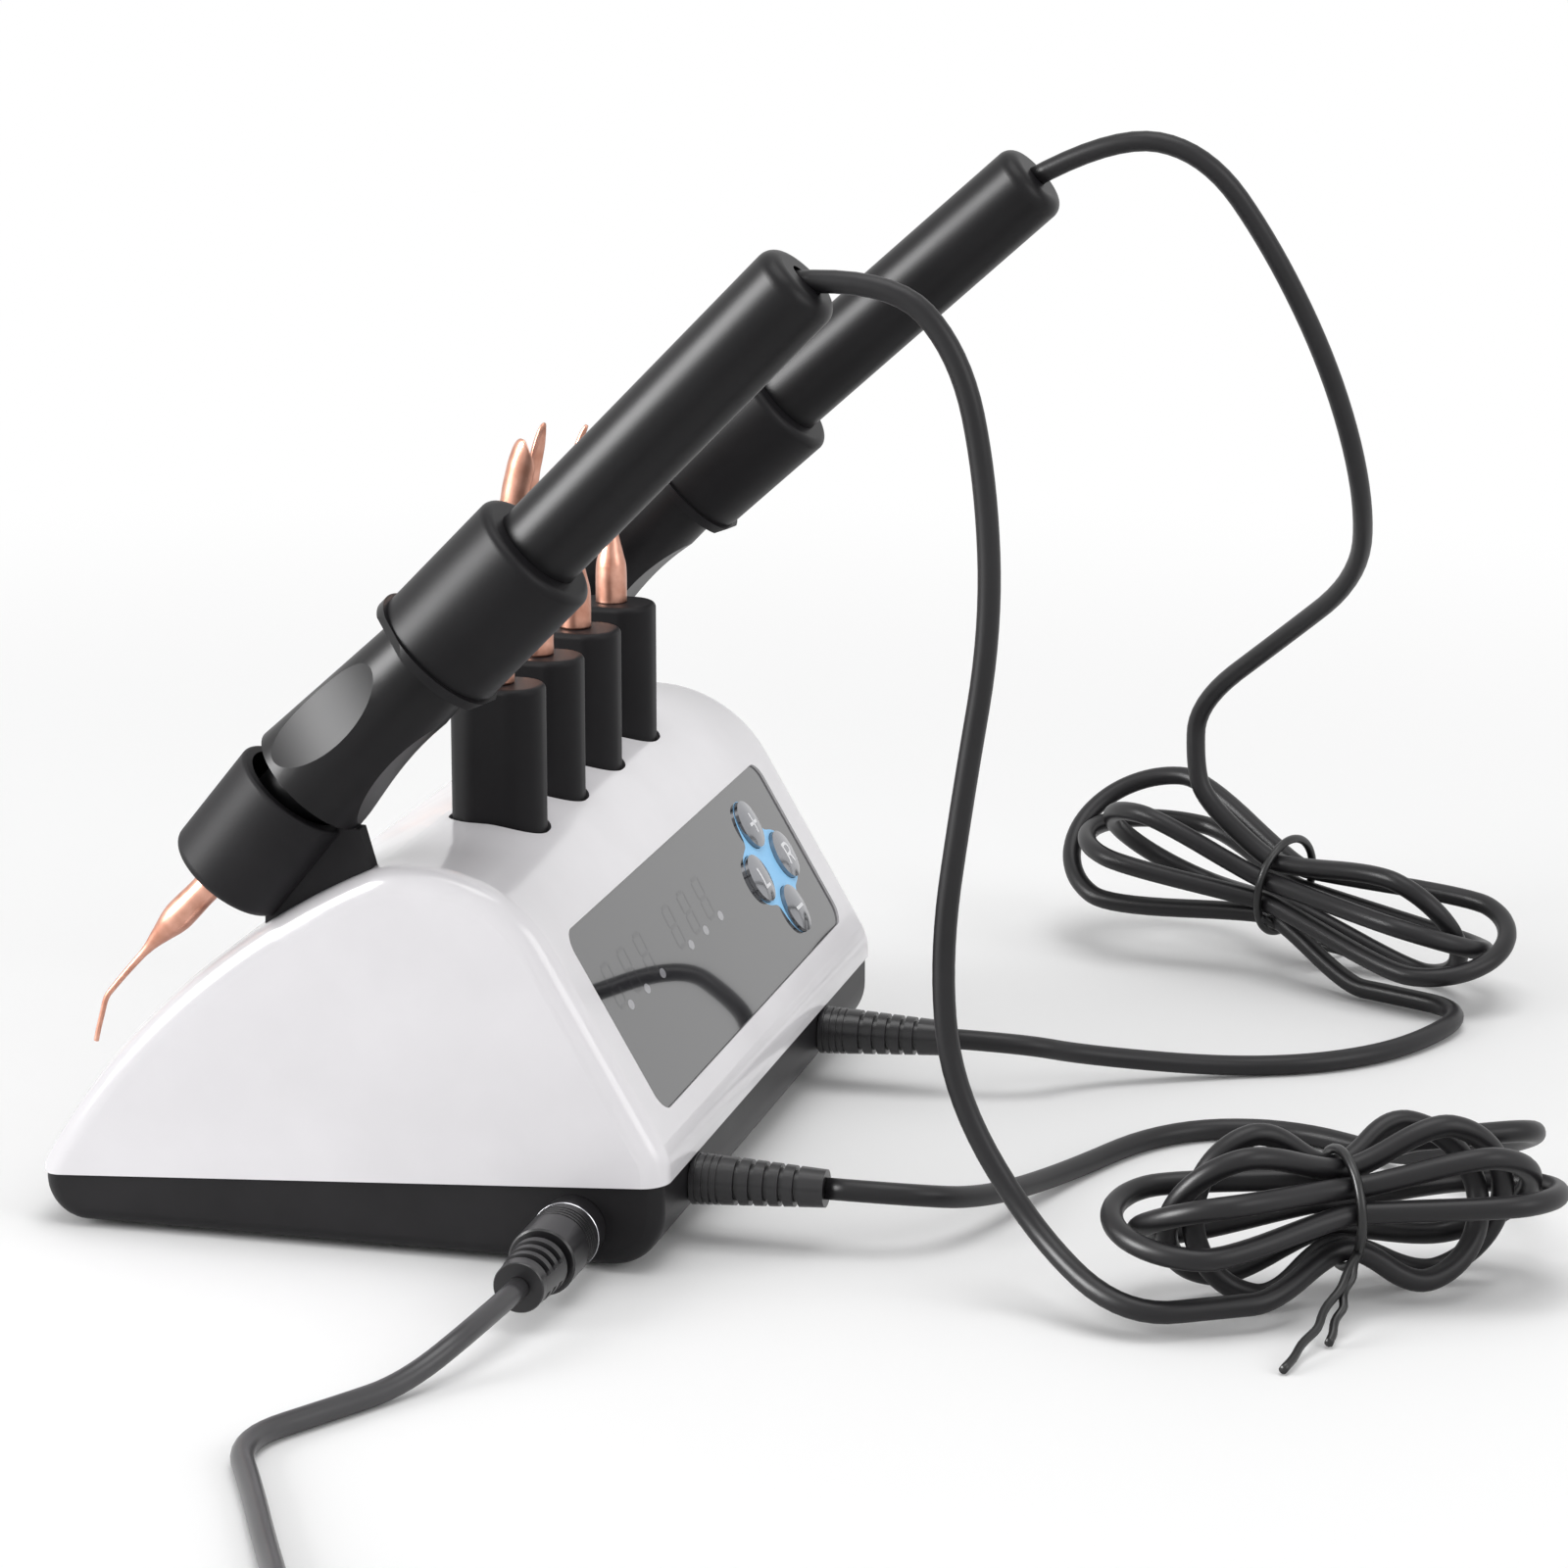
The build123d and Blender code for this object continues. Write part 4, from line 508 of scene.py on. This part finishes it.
unlit = wear("unlit_display_segments", "#29292c", "#2e2e31", 0.07, 0.01, 0.8, 0.0, Coat_Weight=0.6)
dot_paint = wear("pale_decimal_points", "#8a8a8e", "#96969a", 0.07, 0.01, 0.8, 0.0, Coat_Weight=0.6)
bars = {
    "top": (0, 3.6, 0), "middle": (0, 0, 0), "low": (0, -3.6, 0),
    "upper_left": (-1.9, 1.8, 90), "upper_right": (1.9, 1.8, 90),
    "lower_left": (-1.9, -1.8, 90), "lower_right": (1.9, -1.8, 90),
}
digit_pitch, digit_height, digit_slant, bar_depth = 9.3, 4.6, 0.12, -0.385
digits = [middle + digit_pitch * (i - 1) for middle in (-42.0, -5.8) for i in range(3)]
bar_length, bar_side = np.meshgrid((-1.6, -1.3, 1.3, 1.6), (-1, 1))
bar_width = bar_side * np.where(np.abs(bar_length) > 1.5, 0.02, 0.32)
for number, u in enumerate(digits, start=1):
    for bar, (du, dv, turn) in enumerate(bars.values(), start=1):
        c, s = math.cos(math.radians(turn)), math.sin(math.radians(turn))
        rise = dv + bar_length * s + bar_width * c
        level = u + du + bar_length * c - bar_width * s + digit_slant * rise
        grid = on_slope(level, digit_height + rise, bar_depth)
        segment = surface(f"digit_{number}_bar_{bar}", grid, unlit, "station", smooth=False)
dot_row, dot_wide, dot_high, dot_depth = 0.2, 1.3, 0.85, -0.38
radius, angle = np.meshgrid((0.0, 1.0), -np.arange(24) * np.pi / 12, indexing="ij")
for number, u in enumerate((6.7, -2.9, -12.2, -30.0, -39.3, -48.8), start=1):
    level, rise = dot_wide * radius * np.cos(angle), dot_high * radius * np.sin(angle)
    grid = on_slope(u + level, dot_row + rise, dot_depth)
    dot = surface(f"decimal_point_{number}", grid, dot_paint, "station", close_v=True, smooth=False)

# Buttons. Four crowned caps, 9 mm across, stand in holes of the window and press key switches
# behind it. They are moulded and plated in satin silver, which takes the tone of what it faces, and
# each has a pale matt symbol printed on its crown.
plated = wear("plated_silver_button", "#8b8c90", "#9a9b9f", 0.14, 0.03, 0.5, 0.002, Metallic=0.9)
symbol_ink = wear("pale_symbol_ink", "#dcdde0", "#e6e7ea", 0.35, 0.05, 0.5, 0.001)
bowl_turn = np.radians(np.linspace(90, -90, 13))
bowl = list(zip(0.2 + 1.0 * np.cos(bowl_turn), 0.75 + 1.0 * np.sin(bowl_turn)))
symbols = {
    "plus_button": (40.8, 8.5, [[(-1.9, 0), (1.9, 0)], [(0, -1.9), (0, 1.9)]]),
    "minus_button": (40.8, -8.6, [[(-1.9, 0), (1.9, 0)]]),
    "left_button": (32.0, 0.0, [[(-1.1, 2.0), (-1.1, -2.0)], [(-1.35, -1.75), (1.3, -1.75)]]),
    "right_button": (
        49.4, 0.0,
        [
            [(-1.2, 2.0), (-1.2, -2.0)],
            [(-1.2, 1.75), *bowl, (-1.2, -0.25)],
            [(0.0, -0.25), (1.3, -2.0)],
        ],
    ),
}
crown_height, crown_radius, ink_lift, half_stroke = 0.9, 18.68, 0.02, 0.3
offset = np.linspace(-half_stroke, half_stroke, 5)
quarter_turn = np.array([[0, -1], [1, 0]])
for name, (u, v, strokes) in symbols.items():
    dress(plated, name)
    for number, stroke in enumerate(strokes, start=1):
        stroke = np.array(stroke, float)
        reach = np.r_[0, np.cumsum(np.linalg.norm(np.diff(stroke, axis=0), axis=1))]
        at = np.linspace(0, reach[-1], 25)
        line = np.column_stack([np.interp(at, reach, stroke[:, k]) for k in range(2)])
        normal = np.gradient(line, axis=0) @ quarter_turn
        normal /= np.linalg.norm(normal, axis=1)[:, None]
        grid = line[:, None] + offset[None, :, None] * normal[:, None]
        drop = crown_radius - np.sqrt(crown_radius**2 - (grid**2).sum(-1))
        skin = on_slope(u + grid[..., 0], v + grid[..., 1], crown_height - drop + ink_lift)
        mark = surface(f"{name}_mark_{number}", skin, symbol_ink, name)

# Pegs. Four black mouldings, finely textured so that they hardly shine, stand through slots of the
# crest, clamped by their flanges from inside. Each has a hole for the shank of one spare tip.
matt_black = wear("fine_matt_black_moulding", "#151416", "#1a191b", 0.5, 0.05, 0.3, 0.012,
                  Specular_IOR_Level=0.15)
dress(matt_black, *[f"tip_holder_{i}" for i in range(1, 5)])

# Tips. Bare copper alloy, turned at the shank, drawn out to a wire, and bent or beaten flat at the
# end by hand. The hammer leaves soft facets, which break up the glints and make them uneven.
blow_size = 0.0035
copper, tree, shader = new_material("hand_forged_copper")
place = put(tree, "ShaderNodeTexCoord").outputs["Object"]
blows = put(tree, "ShaderNodeTexNoise", [("Vector", place)], Scale=1 / blow_size, Detail=4.0)
tint = put(tree, "ShaderNodeValToRGB", [("Fac", blows.outputs["Fac"])])
tint.color_ramp.elements[0].position = 0.3
tint.color_ramp.elements[0].color = linear("#b07c68")
tint.color_ramp.elements[1].position = 0.7
tint.color_ramp.elements[1].color = linear("#d6a491")
facets = put(tree, "ShaderNodeBump", [("Height", blows.outputs["Fac"])],
             Strength=0.5, Distance=0.00012)
tree.links.new(tint.outputs["Color"], shader.inputs["Base Color"])
tree.links.new(facets.outputs["Normal"], shader.inputs["Normal"])
shader.inputs["Metallic"].default_value = 1.0
shader.inputs["Roughness"].default_value = 0.36


def forged(name, spots, half_widths, half_depths, body, wide_side, cups=None):
    """A tip drawn along its spots, in millimetres. Widths and depths run between the spots on a
    cubic whose slope at a spot is the harmonic mean of the slopes at both sides, or level at a
    crest, so that they never overshoot. The line's bends are rounded by averaging neighbours."""
    samples, corner_gap, rounds = 150, 0.1, 3
    spots = np.array(spots, float)
    reach = np.r_[0, np.cumsum(np.linalg.norm(np.diff(spots, axis=0), axis=1))]
    close = np.diff(reach) < corner_gap
    at = np.unique(np.r_[np.linspace(0, reach[-1], samples), reach[:-1][close], reach[1:][close]])
    before = np.clip(np.searchsorted(reach, at, side="right") - 1, 0, len(reach) - 2)
    gap = reach[before + 1] - reach[before]
    share = (at - reach[before]) / gap

    def between(values):
        values = np.array(values, float)
        rise = np.diff(values) / np.diff(reach)
        product = rise[:-1] * rise[1:]
        total = np.where(product > 0, rise[:-1] + rise[1:], 1)
        slope = np.r_[rise[0], np.where(product > 0, 2 * product / total, 0), rise[-1]]
        start = (1 + 2 * share) * (1 - share) ** 2 * values[before]
        start = start + share * (1 - share) ** 2 * gap * slope[before]
        end = share**2 * (3 - 2 * share) * values[before + 1]
        return (start + end - share**2 * (1 - share) * gap * slope[before + 1]) / 1000

    line = np.column_stack([np.interp(at, reach, spots[:, k]) for k in range(3)])
    for _ in range(rounds):
        line[1:-1] = (line[:-2] + 2 * line[1:-1] + line[2:]) / 4
    piece = tube(name, line / 1000, between(half_widths), copper, body, sides=24, first=wide_side,
                 wide=between(half_depths), cup=0 if cups is None else between(cups))
    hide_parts(name)
    return piece


# Each spare tip: its place along the row and the side its width lies on, then for the spots of its
# worked end the lean and the height over the peg, the half widths, the half depths and the cup.
spare_forms = {
    "spare_tip_1": (
        -33.075, (0.5, 0.866, 0),
        [(-0.5, 23), (-1.0, 26), (-1.6, 29), (-2.2, 32.5), (-3.0, 36), (-3.9, 38.6), (-4.7, 39.9),
         (-5.1, 40.3)],
        [0.9, 1.5, 2.4, 3.1, 3.1, 2.5, 1.4, 0.3],
        [0.7, 0.55, 0.42, 0.36, 0.34, 0.32, 0.3, 0.15],
        [0, 0.3, 1.1, 1.9, 2.0, 1.3, 0.4, 0],
    ),
    "spare_tip_2": (
        -11.025, (0.93, -0.36, 0),
        [(0.2, 23), (0.6, 27), (0.6, 31), (0.2, 34.5), (-0.7, 37.4), (-1.4, 38.9), (-1.7, 39.3)],
        [0.75, 1.1, 1.5, 1.6, 1.2, 0.7, 0.3],
        [0.65, 0.5, 0.45, 0.42, 0.4, 0.35, 0.2],
        [0, 0.1, 0.5, 0.8, 0.5, 0.1, 0],
    ),
    "spare_tip_3": (
        11.025, (1, 0, 0),
        [(0, 24), (0, 28), (-0.5, 31), (-1.8, 34.2), (-2.4, 35.2)],
        [0.65, 0.6, 0.6, 0.5, 0.3],
        [0.65, 0.6, 0.6, 0.5, 0.3],
        [0] * 5,
    ),
    "spare_tip_4": (
        33.075, (1, 0, 0),
        [(0, 24), (0, 28), (0, 31), (-0.2, 33.5), (-0.3, 34)],
        [0.65, 0.5, 0.4, 0.3, 0.15],
        [0.65, 0.5, 0.4, 0.3, 0.15],
        [0] * 5,
    ),
}
peg_row, peg_top, shank_foot, corner = -14.8, 86.8, 64.0, 0.05
shank = [0.1, 2.3, 2.3, 2.75, 2.75, 2.65, 2.1, 1.25, 0.85]
shank_heights = [shank_foot, shank_foot + corner, peg_top, peg_top + corner]
shank_heights += [peg_top + rise for rise in (4.2, 6.5, 9.0, 13.0, 18.0)]
for name, (x, wide_side, ends, widths, depths, cups) in spare_forms.items():
    low = [(x, peg_row, z) for z in shank_heights]
    high = [(x, peg_row + lean, peg_top + rise) for lean, rise in ends]
    forged(name, low + high, shank + widths, shank + depths, name, wide_side,
           [0] * len(shank) + cups)

# Cradles. A black cup on a web at each end is one moulding, with a tenon through the shell that a
# screw and washer pull tight from inside. It is a shade paler than the pegs, and as dull.
cup_black = wear("matt_black_cup_moulding", "#1c1b1d", "#222123", 0.52, 0.05, 0.3, 0.012,
                 Specular_IOR_Level=0.15)
dress(cup_black, "left_cradle", "right_cradle")

# Pens. A round handle and a front barrel with three finger scoops wear a sprayed soft-touch coat,
# which draws the light out to a long dim streak. The thicker grip sleeve between them is moulded
# rubber, a little paler and duller. A brass socket behind a ceramic heater holds the tip.
soft_touch = wear("soft_touch_black_coat", "#111012", "#151416", 0.38, 0.04, 0.25, 0.001,
                  Specular_IOR_Level=0.21)
grip_rubber = wear("moulded_grip_rubber", "#121113", "#171618", 0.43, 0.04, 0.3, 0.002,
                   Specular_IOR_Level=0.17)
# The tip's spots: distance from the barrel's shoulder along the pen, and how far it is bent under.
tip_spots = [
    (9, 0), (9.05, 0), (28, 0), (31, 0), (33.2, 0), (35, 0), (37.1, 0), (39.5, 0), (41.6, 0.1),
    (43.5, 0.15), (48, 0.35), (52.6, 0.7), (53.7, 1.1), (56, 2.4), (58.2, 3.6), (60, 4.7),
    (60.05, 4.74),
]
tip_radii = [
    0.1, 2.4, 2.4, 2.5, 2.55, 2.35, 1.84, 1.25, 0.82,
    0.64, 0.55, 0.48, 0.46, 0.44, 0.43, 0.42, 0.05,
]
pen_sets = {"left": (45.9, (-64.8, 6.28, 76.82)), "right": (42.0, (64.8, 2.4, 82.3))}
for side, (lean, shoulder) in pen_sets.items():
    dress(soft_touch, f"{side}_handle", f"{side}_front_barrel")
    dress(grip_rubber, f"{side}_grip_sleeve")
    c, s = math.cos(math.radians(lean)), math.sin(math.radians(lean))
    forward, under = np.array((0, c, -s)), np.array((0, -s, -c))
    spots = [np.array(shoulder) + forward * w + under * off for w, off in tip_spots]
    forged(f"{side}_pen_tip", spots, tip_radii, tip_radii, f"{side}_pen_tip", (1, 0, 0))

# Pen plugs. Relief sleeves with four fine rings and five ribs, moulded in black vinyl on the cord,
# over a pin that stays mated in the jack. The vinyl is smooth, so each rib has a clear small glint.
plug_vinyl = wear("moulded_black_plug_vinyl", "#1a191b", "#232224", 0.3, 0.04, 0.35, 0.004,
                  Specular_IOR_Level=0.5)
dress(plug_vinyl, "left_pen_plug", "right_pen_plug")


# Supply plug. A collar, a bright plated ring, a barrel with four fine rings, a dark neck, and a
# tapered relief with two rows of three slots. All but the ring is the pen plugs' vinyl, moulded on
# the lead.
def revolved(name, start, profile, material, body, cut=None, sides=96):
    """A profile of (distance, radius) turned about the line that runs to -X from start. Each corner
    of the profile is three rows close together, and cut gives how deep the skin is sunk at a
    distance and an angle. The profile's end joins its start inside, which closes the skin."""
    profile = np.array(profile, float)
    reach = np.r_[0, np.cumsum(np.hypot(*np.diff(profile, axis=0).T))]
    step, beside = 0.15 if cut else 0.5, 0.02
    near = np.r_[reach[1:-1] - beside, reach[1:-1] + beside]
    at = np.unique(np.r_[np.arange(0, reach[-1], step), reach, near])
    distance = np.interp(at, reach, profile[:, 0])
    radius = np.interp(at, reach, profile[:, 1])
    angle = np.arange(sides) * 2 * np.pi / sides
    skin = radius[:, None] * np.ones(sides)
    if cut:
        skin = skin - cut(distance[:, None], angle[None, :])
    level = 0 * skin - distance[:, None]
    points = np.stack([level, skin * np.cos(angle), skin * np.sin(angle)], -1)
    points = ((points + np.array(start)) / 1000)[:, ::-1]
    piece = surface(name, points, material, body, close_u=True, close_v=True)
    piece.data.set_sharp_from_angle(angle=math.radians(35))
    return piece


slots_from, slot_pitch, slot_length, slot_depth, slots_in_row = 20.9, 2.6, 1.3, 0.9, 3
bridge_angle, slot_softness = math.radians(21), 0.06


def slots(distance, angle):
    """How deep the skin is sunk: two rows of slots, one above and one below, each 138 degrees wide
    with soft ends. Between them a bridge stands 21 degrees to both sides of the level plane."""
    along = np.mod(distance - slots_from, slot_pitch)
    slots_to = slots_from + (slots_in_row - 1) * slot_pitch + slot_length
    inside = (along < slot_length) & (distance > slots_from) & (distance < slots_to)
    row = np.clip((np.abs(np.sin(angle)) - math.sin(bridge_angle)) / slot_softness, 0, 1)
    return slot_depth * inside * row


plug_start = (-70.3, -38.1, 7.5)
first_ring, ring_pitch, ring_count = 6.8, 1.0, 4
barrel_profile = [(0, 2.75), (0, 5.1), (0.2, 5.25), (4.5, 5.25), (4.6, 5.5)]
for i in range(ring_count):
    at = first_ring + ring_pitch * i
    barrel_profile += [(at, 5.5), (at + 0.08, 5.2), (at + 0.42, 5.2), (at + 0.5, 5.5)]
barrel_profile += [(17.6, 5.5), (17.9, 5.2), (17.9, 3.7), (19.2, 3.7)]
relief_profile = [
    (19.2, 3.5), (19.2, 4.55), (19.4, 4.7), (28.4, 4.1), (29.8, 4.1), (30.0, 3.95), (30.0, 1.75),
]
ring_profile = [(4.6, 5.4), (4.6, 5.5), (4.7, 5.58), (4.9, 5.58), (5.0, 5.5), (5.0, 5.4)]
plated_ring = wear("bright_plated_ring", "#a8a8ac", "#bcbcc0", 0.22, 0.04, 0.5, 0.001, Metallic=1.0)
barrel = revolved("supply_plug_barrel", plug_start, barrel_profile, plug_vinyl, "station")
relief = revolved("supply_plug_relief", plug_start, relief_profile, plug_vinyl, "station",
                  cut=slots)
front_ring = revolved("supply_plug_ring", plug_start, ring_profile, plated_ring, "station")
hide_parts("dc_plug")
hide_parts("dc_plug")

# Inner parts. Green boards carry the displays, key switches, jacks and two output transistors, a
# grey ribbon joins the boards, and screws hold them. Solder mask and display faces have a soft
# gloss, mouldings and epoxy are dull, alumina is chalky, and the metals have a broad sheen.
inner = {
    "front_board": ("green_solder_mask", "#0d4a2a", "#115a33", 0.35, {}),
    "left_display": ("black_display_module", "#141416", "#1a1a1c", 0.2, {}),
    "key_switches": ("black_switch_moulding", "#1c1c1e", "#262628", 0.45, {}),
    "left_pen_jack": ("black_jack_moulding", "#19191b", "#222224", 0.4, {}),
    "output_transistors": ("black_epoxy_package", "#202022", "#29292b", 0.5, {}),
    "ribbon_cable": ("grey_ribbon_insulation", "#87878b", "#95959a", 0.45, {}),
    "housing_screws": ("zinc_plated_steel", "#9a9c9f", "#b0b2b5", 0.3, {"Metallic": 1.0}),
    "left_heater_core": ("white_alumina_ceramic", "#dcd8cc", "#e8e4da", 0.6, {}),
    "left_tip_socket": ("turned_brass", "#b8933f", "#c9a655", 0.28, {"Metallic": 1.0}),
    "power_adapter": ("textured_black_adapter_shell", "#1d1d1f", "#262628", 0.5, {"IOR": 1.5}),
    "adapter_prongs": ("nickel_plated_blades", "#aeb0ae", "#c2c4c2", 0.22, {"Metallic": 1.0}),
}
alike = {
    "front_board": ["jack_board"],
    "left_display": ["right_display"],
    "left_pen_jack": ["right_pen_jack", "dc_jack"],
    "housing_screws": ["board_screws", "cradle_screws"],
    "left_heater_core": ["right_heater_core"],
    "left_tip_socket": ["right_tip_socket"],
}
spread, grain_mm, bump_mm = 0.05, 0.5, 0.004
for name, (finish, dark, light, roughness, sockets) in inner.items():
    material = wear(finish, dark, light, roughness, spread, grain_mm, bump_mm, **sockets)
    dress(material, name, *alike.get(name, []))
